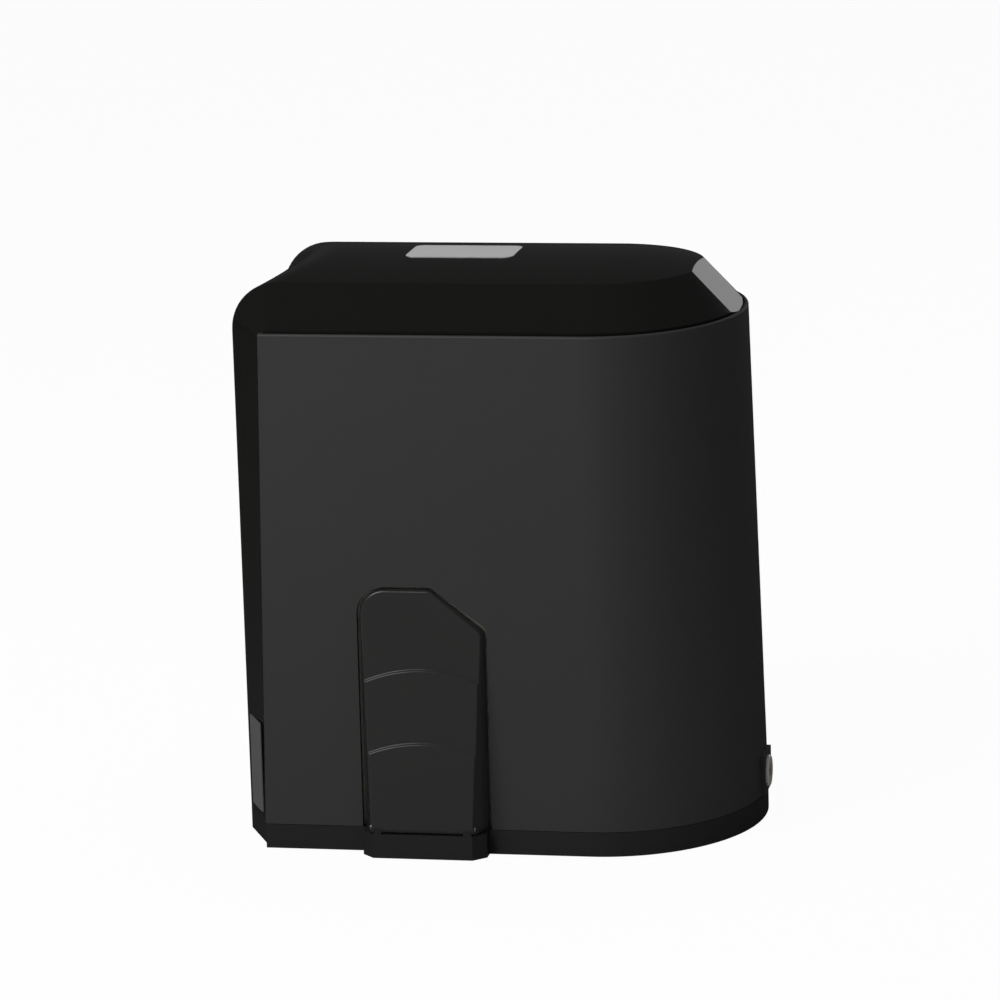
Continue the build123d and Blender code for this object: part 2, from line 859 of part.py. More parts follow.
# Rubber grommet in the cable hole
grommet_x = panel_left + cable_inset
grommet_outer = cable_radius - fit_gap
with BuildPart() as cable_grommet:
    with BuildSketch(Plane.XZ):
        with BuildLine():
            Polyline((grommet_x + grommet_bore, grommet_low), (grommet_x + grommet_outer, grommet_low),
                     (grommet_x + grommet_outer, floor_thickness),
                     (grommet_x + cable_radius + grommet_lap, floor_thickness),
                     (grommet_x + cable_radius + grommet_lap - grommet_chamfer,
                      floor_thickness + grommet_wall),
                     (grommet_x + grommet_bore, floor_thickness + grommet_wall), close=True)
        make_face()
    revolve(axis=Axis((grommet_x, 0, 0), (0, 0, 1)))
save(cable_grommet, "cable_grommet")

# Release lever: a tapered cap whose front steps outward at two bowed ledges
foot_z = pivot_z - knuckle_radius
cap_back = half_width - draft_at(lever_top, front_draft)
top_reach = half_width - lever_rest
panel_lean = (lever_front - top_reach - len(step_levels) * step_ledge) / (lever_top - pivot_z)
panel_stretch = hypot(1, panel_lean)
panel_side = lever_half + panel_overlap
panel_bow = step_bow * (panel_side / lever_half) ** 2
panel_levels = (lever_top + panel_over, *step_levels, foot_z)
cap_face = lever_outline(-cap_back, cap_low)
skirt_face = lever_outline(-lever_back, cap_low)
rib_half = rod_radius + pin_lap
pocket_back = -lever_back + past
with BuildPart() as release_lever:
    extrude(skirt_face, amount=cap_back - lever_back)
    extrude(cap_face, amount=lever_front + pocket_wall - half_width, taper=lever_taper)
    for index, (high, low) in enumerate(zip(panel_levels, panel_levels[1:])):
        face_y = -top_reach - panel_lean * (lever_top - low) - index * step_ledge
        slope = Plane(origin=(lever_middle, face_y, low), x_dir=(1, 0, 0),
                      z_dir=(0, -1 / panel_stretch, panel_lean / panel_stretch))
        rise = (high - low) * panel_stretch
        left = -panel_side
        foot = -panel_bow - panel_under * (low == foot_z)
        with BuildSketch(slope):
            with BuildLine():
                if index == 0:
                    Polyline((left, foot), (left, rise), (-left, rise), (-left, foot))
                else:
                    Line((left, foot), (left, rise - panel_bow))
                    ThreePointArc((left, rise - panel_bow), (0, rise), (-left, rise - panel_bow))
                    Line((-left, rise - panel_bow), (-left, foot))
                if low == foot_z:
                    Line((-left, foot), (left, foot))
                else:
                    ThreePointArc((-left, foot), (0, 0), (left, foot))
            make_face()
        extrude(amount=panel_cut, mode=Mode.SUBTRACT)
    with BuildSketch(level(foot_z)):
        Rectangle(4 * half_width, 4 * half_width)
    extrude(amount=cap_low - foot_z - past, mode=Mode.SUBTRACT)
    for left, right in ((lever_left + pocket_wall, shaft_x - rib_half),
                        (shaft_x + rib_half, lever_right - pocket_wall)):
        with BuildSketch(Plane.YZ.offset(left)):
            with BuildLine():
                Polyline((pocket_back, heel_low), (pocket_back, pocket_top),
                         (-half_width + past, pocket_top),
                         (-half_width - pocket_front, pocket_knee),
                         (-half_width - pocket_foot, heel_low), close=True)
            make_face()
        extrude(amount=right - left, mode=Mode.SUBTRACT)
    with BuildSketch(Plane.YZ.offset(lever_left - past)):
        with BuildLine():
            Polyline((pocket_back, 0), (pocket_back, heel_top), (-lever_back - heel_depth, heel_low),
                     (-lever_back - heel_depth, 0), close=True)
        make_face()
        with Locations((pivot_y, pivot_z)):
            Circle(pin_radius + fit_gap)
    extrude(amount=lever_right - lever_left + 2 * past, mode=Mode.SUBTRACT)
    with BuildSketch(Plane.YZ.offset(lever_left - past)):
        with BuildLine():
            Polyline((pivot_y, foot_z), (-lever_front - knuckle_cut, foot_z),
                     (-lever_front - knuckle_cut, pivot_z), (-lever_front, pivot_z))
            RadiusArc((-lever_front, pivot_z), (pivot_y, foot_z), -knuckle_radius)
        make_face()
    extrude(amount=lever_right - lever_left + 2 * past, mode=Mode.SUBTRACT)
    for x in ear_places:
        with BuildSketch(Plane.YZ.offset(x - seat_gap)):
            with Locations((pivot_y, pivot_z)):
                Circle(knuckle_radius + knuckle_gap)
            with Locations((pivot_y, pivot_z - ear_room / 2)):
                Rectangle(2 * (knuckle_radius + knuckle_gap), ear_room)
            with Locations((pivot_y - ear_notch_depth / 2, pivot_z - ear_notch_height / 2)):
                Rectangle(ear_notch_depth, ear_notch_height + 2 * knuckle_radius)
        extrude(amount=ear_width + 2 * seat_gap, mode=Mode.SUBTRACT)
save(release_lever, "release_lever")

# Hinge pin of the lever
with BuildPart() as lever_pin:
    with BuildSketch(Plane.YZ.offset(ear_places[0] - pin_lap)):
        with Locations((pivot_y, pivot_z)):
            Circle(pin_radius)
    extrude(amount=ear_places[1] - ear_places[0] + ear_width + 2 * pin_lap)
save(lever_pin, "lever_pin")

# Plate behind the lever, which closes the window in the cover and guides the rod
guide_high = lever_top + guide_lap
with BuildPart() as lever_backplate:
    with BuildSketch(front_plane(-guide_front + guide_thickness)):
        with Locations((lever_middle, (guide_high + floor_thickness) / 2)):
            RectangleRounded(2 * (lever_half + guide_lap), guide_high - floor_thickness, guide_corner)
        with Locations((shaft_x, shaft_z)):
            Circle(rod_radius + guide_bore_gap, mode=Mode.SUBTRACT)
    extrude(amount=guide_thickness)
    with BuildSketch(level(floor_thickness)):
        with Locations((lever_middle, -guide_front + guide_foot / 2)):
            Rectangle(lever_right - lever_left - guide_foot_inset, guide_foot)
        with Locations(*[(x, guide_screw_y) for x in guide_screw_x]):
            Circle(guide_screw[2] + screw_gap, mode=Mode.SUBTRACT)
    extrude(amount=guide_foot_thickness)
save(lever_backplate, "lever_backplate")
backplate_screws = screws([level(floor_thickness + guide_foot_thickness, x, guide_screw_y)
                           for x in guide_screw_x], *guide_screw)
save(backplate_screws, "backplate_screws")

# Gearbox housing: foot, wheel chamber, worm tunnel, motor flange, bearing tower and switch post
chamber_radius = wheel_pitch + wheel_module + chamber_gap
block_radius = chamber_radius + gearbox_wall
block_right = worm_x + small_bearing_outer + gearbox_wall
limit_base = limit_z - limit_box_height / 2
flange_low = motor_flange_z - motor_flange_height
plate_screw_circle = block_radius - plate_screw_inset
plate_screw_places = [Plane(origin=(shaft_x + plate_screw_circle * cos(radians(angle)),
                                    gearbox_front - front_plate,
                                    shaft_z + plate_screw_circle * sin(radians(angle))),
                            x_dir=(1, 0, 0), z_dir=(0, -1, 0)) for angle in plate_screw_angles]
plate_screw_places += [Plane(origin=(block_right - plate_edge_inset, gearbox_front - front_plate, z),
                             x_dir=(1, 0, 0), z_dir=(0, -1, 0)) for z in plate_edge_z]
bolt_places = [(worm_x + motor_bolt_circle * cos(radians(angle)),
                wheel_y + motor_bolt_circle * sin(radians(angle))) for angle in motor_bolt_angles]
with BuildSketch(front_plane(gearbox_front)) as block_face:
    with Locations((shaft_x, shaft_z)):
        Circle(block_radius)
    with Locations(((shaft_x - block_radius + block_right) / 2, (shaft_z + box_foot) / 2)):
        Rectangle(block_right - shaft_x + block_radius, shaft_z - box_foot)
    with Locations(((shaft_x + block_right) / 2, (motor_flange_z + shaft_z) / 2)):
        Rectangle(block_right - shaft_x, motor_flange_z - shaft_z)
with BuildPart() as gearbox_housing:
    extrude(block_face.sketch, amount=gearbox_front - gearbox_back)
    with BuildSketch(level(box_foot, (foot_left + foot_right) / 2, (foot_front + foot_back) / 2)):
        RectangleRounded(foot_right - foot_left, foot_back - foot_front, foot_corner)
    extrude(amount=gearbox_foot)
    with BuildSketch(level(motor_flange_z, worm_x, wheel_y)):
        Circle(motor_radius)
    extrude(amount=-motor_flange_height)
    for step in gusset_x:
        with BuildSketch(Plane.YZ.offset(worm_x + step)):
            with BuildLine():
                Polyline((gearbox_back - past, foot_top - past),
                         (foot_back - gusset_foot_inset, foot_top - past),
                         (gearbox_back + gusset_knee, gusset_knee_z),
                         (wheel_y + gusset_top, flange_low), (gearbox_back - past, flange_low),
                         close=True)
            make_face()
        extrude(amount=gusset_width)
    with BuildSketch(shaft_plane(gearbox_back)):
        Circle(tower_radius)
    extrude(amount=tower_end - gearbox_back)
    with BuildSketch(Plane.YZ.offset(shaft_x - tower_rib_width / 2)):
        with BuildLine():
            Polyline((gearbox_back - past, foot_top - past), (foot_back, foot_top - past),
                     (tower_end - tower_rib_inset, shaft_z - tower_radius + tower_rib_lap),
                     (gearbox_back - past, shaft_z), close=True)
        make_face()
    extrude(amount=tower_rib_width)
    with BuildSketch(level(limit_base, shaft_x, tower_end - post_inset)):
        Rectangle(post_width, post_depth)
    extrude(amount=-(limit_base - shaft_z - tower_radius + post_lap))
    with BuildSketch(shaft_plane(gearbox_front)):
        Circle(chamber_radius)
    extrude(amount=chamber_back - gearbox_front, mode=Mode.SUBTRACT)
    with BuildSketch(shaft_plane(chamber_back - chamber_gap)):
        Circle(shaft_radius + hub_room)
    extrude(amount=inner_bearing_y - chamber_back + chamber_gap + past, mode=Mode.SUBTRACT)
    with BuildSketch(shaft_plane(inner_bearing_y)):
        Circle(bearing_outer + fit_gap)
    extrude(amount=tower_end - inner_bearing_y, mode=Mode.SUBTRACT)
    with BuildSketch(level(lower_bearing_z, worm_x, wheel_y)):
        Circle(small_bearing_outer + fit_gap)
    extrude(amount=motor_flange_z - lower_bearing_z, mode=Mode.SUBTRACT)
    with BuildSketch(level(lower_bearing_z - worm_bore_depth, worm_x, wheel_y)):
        Circle(rotor_shaft_radius + worm_bore_gap)
    extrude(amount=worm_bore_depth, mode=Mode.SUBTRACT)
    with BuildSketch(level(box_foot)):
        with Locations(*foot_bolts):
            Circle(foot_hole_radius)
    extrude(amount=gearbox_foot, mode=Mode.SUBTRACT)
    for place in plate_screw_places:
        with BuildSketch(place.offset(-front_plate)):
            Circle(plate_screw[2] + screw_gap)
        extrude(amount=-tap_depth, mode=Mode.SUBTRACT)
    with BuildSketch(level(motor_flange_z)):
        with Locations(*bolt_places):
            Circle(motor_bolt[2] + screw_gap)
    extrude(amount=-motor_flange_height, mode=Mode.SUBTRACT)
save(gearbox_housing, "gearbox_housing")

# Front plate of the gearbox with the clutch recess and the long snout of the release rod
recess_end = gearbox_front - front_plate - recess_depth
snout_front = -(half_width - snout_inset)
with BuildPart() as gearbox_cover:
    extrude(block_face.sketch, amount=front_plate)
    with BuildSketch(shaft_plane(recess_end - recess_wall)):
        Circle(dog_radius + recess_rim)
    extrude(amount=recess_depth + recess_wall)
    with BuildSketch(shaft_plane(snout_front)):
        Circle(snout_radius)
    extrude(amount=recess_end - snout_front)
    with BuildSketch(shaft_plane(recess_end)):
        Circle(dog_radius + dog_chamber_gap)
    extrude(amount=gearbox_front - recess_end, mode=Mode.SUBTRACT)
    with BuildSketch(shaft_plane(snout_front)):
        Circle(rod_radius + 2 * fit_gap)
    extrude(amount=-snout_front, mode=Mode.SUBTRACT)
    with BuildSketch(level(box_foot)):
        Rectangle(4 * half_width, 4 * half_width)
    extrude(amount=gearbox_foot + seat_gap, mode=Mode.SUBTRACT)
    with BuildSketch(level(flange_low - seat_gap)):
        Rectangle(4 * half_width, 4 * half_width)
    extrude(amount=motor_flange_height + past, mode=Mode.SUBTRACT)
    for place in plate_screw_places:
        with BuildSketch(place):
            Circle(plate_screw[2] + 2 * screw_gap)
        extrude(amount=-front_plate, mode=Mode.SUBTRACT)
save(gearbox_cover, "gearbox_cover")
gearbox_screws = screws(plate_screw_places, *plate_screw)
save(gearbox_screws, "gearbox_screws")
foot_screws = screws([level(foot_top, x, y) for x, y in foot_bolts], *foot_screw)
save(foot_screws, "foot_screws")

# Output shaft with its hexagon nose, keyed seat and threaded end
shaft_end = pinion_y + pinion_width - seat_gap
key_length = pinion_width - key_shortfall
with BuildPart() as output_shaft:
    with BuildSketch(shaft_plane(wheel_hub_front - nose_length)):
        RegularPolygon(hex_across / 2, 6, major_radius=False)
    extrude(amount=nose_length)
    with BuildSketch(shaft_plane(wheel_hub_front)):
        Circle(shaft_radius)
    extrude(amount=pinion_y - wheel_hub_front)
    with BuildSketch(shaft_plane(pinion_y)):
        Circle(pinion_seat_radius)
    extrude(amount=shaft_end - pinion_y)
    with BuildSketch(shaft_plane(pinion_y + key_inset)):
        with Locations((0, -pinion_seat_radius)):
            Rectangle(key_width, key_height)
    extrude(amount=key_length, mode=Mode.SUBTRACT)
    with BuildSketch(shaft_plane(shaft_end - shaft_screw[3])):
        Circle(shaft_screw[2])
    extrude(amount=shaft_screw[3], mode=Mode.SUBTRACT)
save(output_shaft, "output_shaft")

# Key between the shaft and the pinion
with BuildPart() as pinion_key:
    with BuildSketch(shaft_plane(pinion_y + key_inset)):
        with Locations((0, -pinion_seat_radius)):
            Rectangle(key_width, key_height)
    extrude(amount=key_length)
save(pinion_key, "pinion_key")

# Drive pinion that meshes with the rack on the gate, with its washer and screw
pinion_tooth = tooth_points(pinion_module, pinion_teeth, pinion_module,
                            pinion_dedendum * pinion_module, pinion_backlash)
with BuildPart() as drive_pinion:
    with BuildSketch(shaft_plane(pinion_y)):
        Circle(pinion_module * (pinion_teeth / 2 - pinion_dedendum))
        with PolarLocations(0, pinion_teeth):
            Polygon(*pinion_tooth, align=None)
        Circle(pinion_seat_radius, mode=Mode.SUBTRACT)
        with Locations((0, -pinion_seat_radius)):
            Rectangle(key_width, key_height, mode=Mode.SUBTRACT)
    extrude(amount=pinion_width)
save(drive_pinion, "drive_pinion")

with BuildPart() as pinion_washer:
    with BuildSketch(shaft_plane(pinion_y + pinion_width)):
        Circle(washer_radius)
        Circle(washer_bore, mode=Mode.SUBTRACT)
    extrude(amount=washer_thickness)
save(pinion_washer, "pinion_washer")
pinion_screw = screws([shaft_plane(pinion_y + pinion_width + washer_thickness)], *shaft_screw)
save(pinion_screw, "pinion_screw")

# Worm wheel: leaning teeth on a web with a hub whose front face takes the clutch dogs
lead = pi * wheel_module
lead_slope = lead / (2 * pi * worm_pitch_radius)
wheel_root = wheel_pitch - wheel_dedendum * wheel_module
wheel_tooth = tooth_points(wheel_module, wheel_teeth, wheel_module,
                           wheel_dedendum * wheel_module, wheel_backlash)
wheel_front = wheel_y - wheel_face / 2
wheel_back = wheel_y + wheel_face / 2
dog_socket = dog_size + 2 * dog_play


def tooth_plane(index, y):
    """Plane of one wheel tooth at a depth, turned by its place and by the worm's lead."""
    angle = 2 * pi * index / wheel_teeth - (y - wheel_y) * lead_slope / wheel_pitch
    return Plane(origin=(shaft_x, y, shaft_z), x_dir=(cos(angle), 0, sin(angle)), z_dir=(0, 1, 0))


teeth = []
for index in range(wheel_teeth):
    ends = []
    for y in (wheel_front, wheel_back):
        with BuildSketch(tooth_plane(index, y)) as end:
            Polygon(*wheel_tooth, align=None)
        ends.append(end.sketch)
    with BuildPart() as tooth:
        loft(ends, ruled=True)
    teeth.append(tooth.part)
with BuildPart() as worm_wheel:
    with BuildSketch(shaft_plane(wheel_front)):
        Circle(wheel_root)
    extrude(amount=wheel_face)
    add(teeth)
    for y in (wheel_front, wheel_back - wheel_web_depth):
        with BuildSketch(shaft_plane(y)):
            Circle(wheel_pitch - wheel_rim)
            Circle(wheel_hub_radius, mode=Mode.SUBTRACT)
        extrude(amount=wheel_web_depth, mode=Mode.SUBTRACT)
    with BuildSketch(shaft_plane(wheel_hub_front)):
        Circle(wheel_hub_radius)
    extrude(amount=wheel_hub_length)
    with BuildSketch(shaft_plane(wheel_hub_front)):
        with PolarLocations(dog_radius - dog_inset, dog_count):
            Rectangle(dog_socket, dog_socket)
    extrude(amount=dog_depth, mode=Mode.SUBTRACT)
    with BuildSketch(shaft_plane(wheel_hub_front)):
        Circle(shaft_radius)
    extrude(amount=wheel_hub_length, mode=Mode.SUBTRACT)
save(worm_wheel, "worm_wheel")

with BuildPart() as wheel_spacer:
    with BuildSketch(shaft_plane(wheel_hub_front + wheel_hub_length)):
        Circle(shaft_radius + spacer_wall)
        Circle(shaft_radius, mode=Mode.SUBTRACT)
    extrude(amount=inner_bearing_y - wheel_hub_front - wheel_hub_length - seat_gap)
save(wheel_spacer, "wheel_spacer")

# Clutch dog that slides on the hexagon nose, its rod and its spring
ring_back = wheel_hub_front - dog_play
spring_face = ring_back - spring_room
with BuildPart() as clutch_dog:
    with BuildSketch(shaft_plane(ring_back - dog_length)):
        Circle(dog_radius)
    extrude(amount=dog_length)
    with BuildSketch(shaft_plane(ring_back)):
        with PolarLocations(dog_radius - dog_inset, dog_count):
            Rectangle(dog_size, dog_size)
    extrude(amount=dog_depth - dog_play)
    with BuildSketch(shaft_plane(wheel_hub_front - nose_length - nose_play)):
        RegularPolygon(hex_across / 2 + fit_gap, 6, major_radius=False)
    extrude(amount=nose_length + dog_depth, mode=Mode.SUBTRACT)
    with BuildSketch(shaft_plane(spring_face)):
        Circle(shaft_radius + spring_pocket_gap)
    extrude(amount=spring_room + dog_depth, mode=Mode.SUBTRACT)
save(clutch_dog, "clutch_dog")

with BuildPart() as release_rod:
    with BuildSketch(shaft_plane(-lever_back + seat_gap)):
        Circle(rod_radius)
    extrude(amount=lever_back - seat_gap + ring_back - dog_length)
    chamfer(release_rod.edges().group_by(Axis.Y)[0], rod_chamfer)
save(release_rod, "release_rod")

spring_bore = hex_across / 2 + spring_bore_gap
spring_edge = shaft_radius + spring_rim
disc_rise = (spring_room + dog_play - 2 * spring_play) / spring_discs
disc_edges = [(spring_edge - spring_wire * (step % 2), step * disc_rise)
              for step in range(spring_discs + 1)]
with BuildPart() as clutch_spring:
    with BuildSketch(Plane(origin=(shaft_x, spring_face + spring_play, shaft_z), x_dir=(1, 0, 0),
                           z_dir=(0, 0, 1))):
        with BuildLine():
            Polyline((spring_bore, 0), *disc_edges, (spring_bore, spring_discs * disc_rise), close=True)
        make_face()
    revolve(axis=Axis((shaft_x, 0, shaft_z), (0, 1, 0)))
save(clutch_spring, "clutch_spring")

# Bearings, spacer and seal of the output shaft
for name, y in (("output_bearing_inner", inner_bearing_y), ("output_bearing_outer", outer_bearing_y)):
    save(sealed_bearing(shaft_plane(y), shaft_radius + fit_gap, bearing_outer, bearing_width), name)
with BuildPart() as bearing_spacer:
    with BuildSketch(shaft_plane(inner_bearing_y + bearing_width)):
        Circle(bearing_outer)
        Circle(bearing_outer - bearing_spacer_wall, mode=Mode.SUBTRACT)
    extrude(amount=outer_bearing_y - inner_bearing_y - bearing_width)
save(bearing_spacer, "bearing_spacer")
seal_y = outer_bearing_y + bearing_width + seal_gap
with BuildPart() as shaft_seal:
    with BuildSketch(shaft_plane(seal_y)):
        Circle(bearing_outer)
        Circle(shaft_radius + 2 * fit_gap, mode=Mode.SUBTRACT)
    extrude(amount=seal_width)
    with BuildSketch(shaft_plane(seal_y + seal_width - seal_groove)):
        Circle(bearing_outer - seal_rim)
        Circle(shaft_radius + seal_lip, mode=Mode.SUBTRACT)
    extrude(amount=seal_groove, mode=Mode.SUBTRACT)
save(shaft_seal, "shaft_seal")

# Rotor shaft with the worm cut into its lower end
worm_start = shaft_z - worm_turns / 2 * lead
shaft_top = motor_top + small_bearing_width
collar_radius = rotor_shaft_radius + rotor_collar
lower_collar_z = lower_bearing_z + small_bearing_width + seat_gap
rotor_axis = Axis((worm_x, wheel_y, 0), (0, 0, 1))
thread_foot = worm_core - thread_sink
thread_height = worm_outer - thread_foot
thread_low = thread_root_share * lead / 2
thread_high = thread_tip_share * lead / 2
with BuildPart() as worm_shaft:
    with BuildSketch(Plane(origin=(worm_x, wheel_y, 0), x_dir=(1, 0, 0), z_dir=(0, -1, 0))):
        with BuildLine():
            Polyline((0, lower_bearing_z - past), (rotor_shaft_radius, lower_bearing_z - past),
                     (rotor_shaft_radius, lower_collar_z), (collar_radius, lower_collar_z),
                     (worm_core, worm_start - worm_run_in),
                     (worm_core, worm_start + worm_turns * lead + worm_run_out),
                     (collar_radius, upper_bearing_z - worm_run_in),
                     (collar_radius, upper_bearing_z - seat_gap),
                     (rotor_shaft_radius, upper_bearing_z - seat_gap),
                     (rotor_shaft_radius, shaft_top), (0, shaft_top), close=True)
        make_face()
    revolve(axis=rotor_axis)
    with BuildLine() as thread_line:
        Helix(lead, worm_turns * lead, thread_foot, center=(worm_x, wheel_y, worm_start))
    with BuildSketch(Plane(origin=thread_line.line @ 0, x_dir=(1, 0, 0),
                           z_dir=thread_line.line % 0)):
        Polygon((0, -thread_low), (thread_height, -thread_high), (thread_height, thread_high),
                (0, thread_low), align=None)
    sweep(is_frenet=True)
save(worm_shaft, "worm_shaft")

# The three small bearings of the rotor shaft
for name, z in (("worm_bearing_lower", lower_bearing_z), ("worm_bearing_upper", upper_bearing_z),
                ("rotor_bearing_top", motor_top)):
    save(sealed_bearing(level(z, worm_x, wheel_y), rotor_shaft_radius + fit_gap,
                        small_bearing_outer, small_bearing_width), name)

# Motor: finned housing, stator, windings, rotor core, end cap and through bolts
motor_height = motor_top - motor_flange_z
stator_low = motor_flange_z + stator_lift
stator_length = motor_top - winding_gap - winding_height - stator_low
fin_low = motor_flange_z + motor_rim_height
with BuildPart() as motor_housing:
    with BuildSketch(level(motor_flange_z, worm_x, wheel_y)):
        Circle(motor_wall_radius)
    extrude(amount=motor_height)
    with BuildSketch(level(motor_flange_z, worm_x, wheel_y)):
        Circle(motor_radius)
    extrude(amount=motor_rim_height)
    with BuildSketch(level(fin_low, worm_x, wheel_y)):
        with PolarLocations((motor_wall_radius + motor_radius - fin_sink) / 2, fin_count):
            Rectangle(motor_radius - motor_wall_radius + fin_sink, fin_width)
    extrude(amount=motor_top - fin_low - fin_stop)
    with BuildSketch(level(motor_flange_z + motor_floor, worm_x, wheel_y)):
        Circle(stator_radius + fit_gap)
    extrude(amount=motor_height, mode=Mode.SUBTRACT)
    with BuildSketch(level(motor_flange_z, worm_x, wheel_y)):
        Circle(rotor_shaft_radius + motor_bore_gap)
    extrude(amount=motor_floor + past, mode=Mode.SUBTRACT)
    with BuildSketch(level(motor_flange_z)):
        with Locations(*bolt_places):
            Circle(motor_bolt_hole)
    extrude(amount=motor_rim_height + past, mode=Mode.SUBTRACT)
save(motor_housing, "motor_housing")

with BuildPart() as stator_core:
    with BuildSketch(level(stator_low, worm_x, wheel_y)):
        Circle(stator_radius)
        Circle(stator_bore, mode=Mode.SUBTRACT)
    extrude(amount=stator_length)
save(stator_core, "stator_core")

with BuildPart() as stator_windings:
    for z in (stator_low - winding_height, stator_low + stator_length):
        with BuildSketch(level(z, worm_x, wheel_y)):
            Circle(stator_radius - winding_inset)
            Circle(stator_bore + winding_bore_gap, mode=Mode.SUBTRACT)
        extrude(amount=winding_height)
    chamfer(stator_windings.edges().group_by(Axis.Z)[0], winding_chamfer)
    chamfer(stator_windings.edges().group_by(Axis.Z)[-1], winding_chamfer)
save(stator_windings, "stator_windings")

with BuildPart() as rotor_core:
    with BuildSketch(level(stator_low, worm_x, wheel_y)):
        Circle(stator_bore - rotor_gap)
        Circle(rotor_shaft_radius, mode=Mode.SUBTRACT)
    extrude(amount=stator_length)
save(rotor_core, "rotor_core")

bolt_head_z = motor_top + motor_cap - motor_ear_drop
with BuildPart() as motor_end_cap:
    with BuildSketch(level(motor_top, worm_x, wheel_y)):
        Circle(motor_wall_radius)
    extrude(amount=motor_cap)
    chamfer(motor_end_cap.edges().group_by(Axis.Z)[-1], motor_cap_chamfer)
    with BuildSketch(level(motor_top, worm_x, wheel_y)):
        with PolarLocations(motor_ear_circle, len(motor_bolt_angles), start_angle=motor_bolt_angles[0]):
            Circle(motor_ear_radius)
    extrude(amount=motor_cap - motor_ear_drop)
    with BuildSketch(level(motor_top, worm_x, wheel_y)):
        Circle(small_bearing_outer + fit_gap)
    extrude(amount=small_bearing_width + motor_cap_pocket_gap, mode=Mode.SUBTRACT)
    with BuildSketch(level(motor_top)):
        with Locations(*bolt_places):
            Circle(motor_bolt_hole)
    extrude(amount=motor_cap, mode=Mode.SUBTRACT)
    with BuildSketch(level(motor_top, worm_x, wheel_y)):
        Circle(motor_wall_radius - motor_cap_wall)
        Circle(small_bearing_outer + motor_cap_boss, mode=Mode.SUBTRACT)
    extrude(amount=motor_cap - motor_cap_wall, mode=Mode.SUBTRACT)
save(motor_end_cap, "motor_end_cap")
motor_bolts = screws([level(bolt_head_z, x, y) for x, y in bolt_places], *motor_bolt,
                     bolt_head_z - flange_low + past)
save(motor_bolts, "motor_bolts")

# Limit switch: box on the casting's post, a turning head outside the cover and its spring rod
box_front = tower_end - limit_box_inset - limit_box_depth
limit_shaft_y = box_front + limit_box_wall + limit_shaft_end_gap
with BuildPart() as limit_box:
    with BuildSketch(level(limit_base, shaft_x, box_front + limit_box_depth / 2)):
        RectangleRounded(limit_box_length, limit_box_depth, limit_box_corner)
    extrude(amount=limit_box_height)
    with BuildSketch(Plane(origin=(shaft_x, box_front + limit_box_wall, limit_z), x_dir=(1, 0, 0),
                           z_dir=(0, 1, 0))):
        Circle(limit_shaft_radius + 2 * fit_gap)
    extrude(amount=limit_box_depth, mode=Mode.SUBTRACT)
save(limit_box, "limit_box")

head_y = half_width + limit_head_stand
finger_y = head_y + limit_head_depth / 2
limit_face = Plane(origin=(shaft_x, limit_shaft_y, limit_z), x_dir=(1, 0, 0), z_dir=(0, 1, 0))
socket_low = limit_z + limit_head_radius * socket_share
socket_top = limit_z + limit_head_radius + socket_rise
with BuildPart() as limit_head:
    with BuildSketch(limit_face):
        Circle(limit_shaft_radius)
    extrude(amount=head_y - limit_shaft_y + past)
    with BuildSketch(limit_face.offset(head_y - limit_shaft_y)):
        Circle(limit_head_radius)
    extrude(amount=limit_head_depth)
    with BuildSketch(level(socket_low, shaft_x, finger_y)):
        Circle(limit_spring_radius + socket_wall)
    extrude(amount=socket_top - socket_low)
    with BuildSketch(level(socket_top - socket_depth, shaft_x, finger_y)):
        Circle(limit_spring_radius)
    extrude(amount=socket_depth, mode=Mode.SUBTRACT)
save(limit_head, "limit_head")

with BuildPart() as limit_spring:
    with BuildSketch(level(socket_top - socket_depth, shaft_x, finger_y)):
        Circle(limit_spring_radius)
    extrude(amount=limit_spring_length)
    chamfer(limit_spring.edges().group_by(Axis.Z)[-1], limit_spring_chamfer)
save(limit_spring, "limit_spring")

# Sheet carrier for the control board and the transformer, with two feet on the tray
carrier_x = panel_left + carrier_inset
carrier_top = rim_z - carrier_drop
board_high = carrier_top - board_margin
board_low = board_high - board_height
trafo_z = board_low - trafo_drop
carrier_low = trafo_z - trafo_plate_drop
leg_top = carrier_low + carrier_leg_lap
with BuildPart() as board_carrier:
    with BuildSketch(Plane.YZ.offset(carrier_x)):
        with Locations((0, (carrier_top + carrier_low) / 2)):
            RectangleRounded(2 * carrier_half, carrier_top - carrier_low, carrier_corner)
        with Locations(*[(side * carrier_leg_y, (floor_thickness + leg_top) / 2) for side in (-1, 1)]):
            Rectangle(carrier_leg_width, leg_top - floor_thickness)
    extrude(amount=carrier_thickness)
    with BuildSketch(level(floor_thickness, carrier_x + carrier_foot / 2)):
        with Locations((0, -carrier_leg_y), (0, carrier_leg_y)):
            Rectangle(carrier_foot, carrier_leg_width)
    extrude(amount=carrier_thickness)
    with BuildSketch(Plane.YZ.offset(carrier_x)):
        with Locations(*[(side * (board_half - standoff_inset), z) for side in (-1, 1)
                         for z in (board_low + standoff_inset, board_high - standoff_inset)]):
            Circle(standoff_radius)
    extrude(amount=-board_gap)
save(board_carrier, "board_carrier")

board_face = carrier_x - board_gap
front_face = board_face - board_thickness
with BuildPart() as control_board:
    with BuildSketch(Plane.YZ.offset(board_face)):
        with Locations((0, (board_low + board_high) / 2)):
            RectangleRounded(2 * board_half, board_height, board_corner)
    extrude(amount=-board_thickness)
    with BuildSketch(Plane.YZ.offset(front_face)):
        with Locations((chip_place[0], board_low + chip_place[1])):
            Rectangle(*chip_size[:2])
    extrude(amount=-chip_size[2])
save(control_board, "control_board")


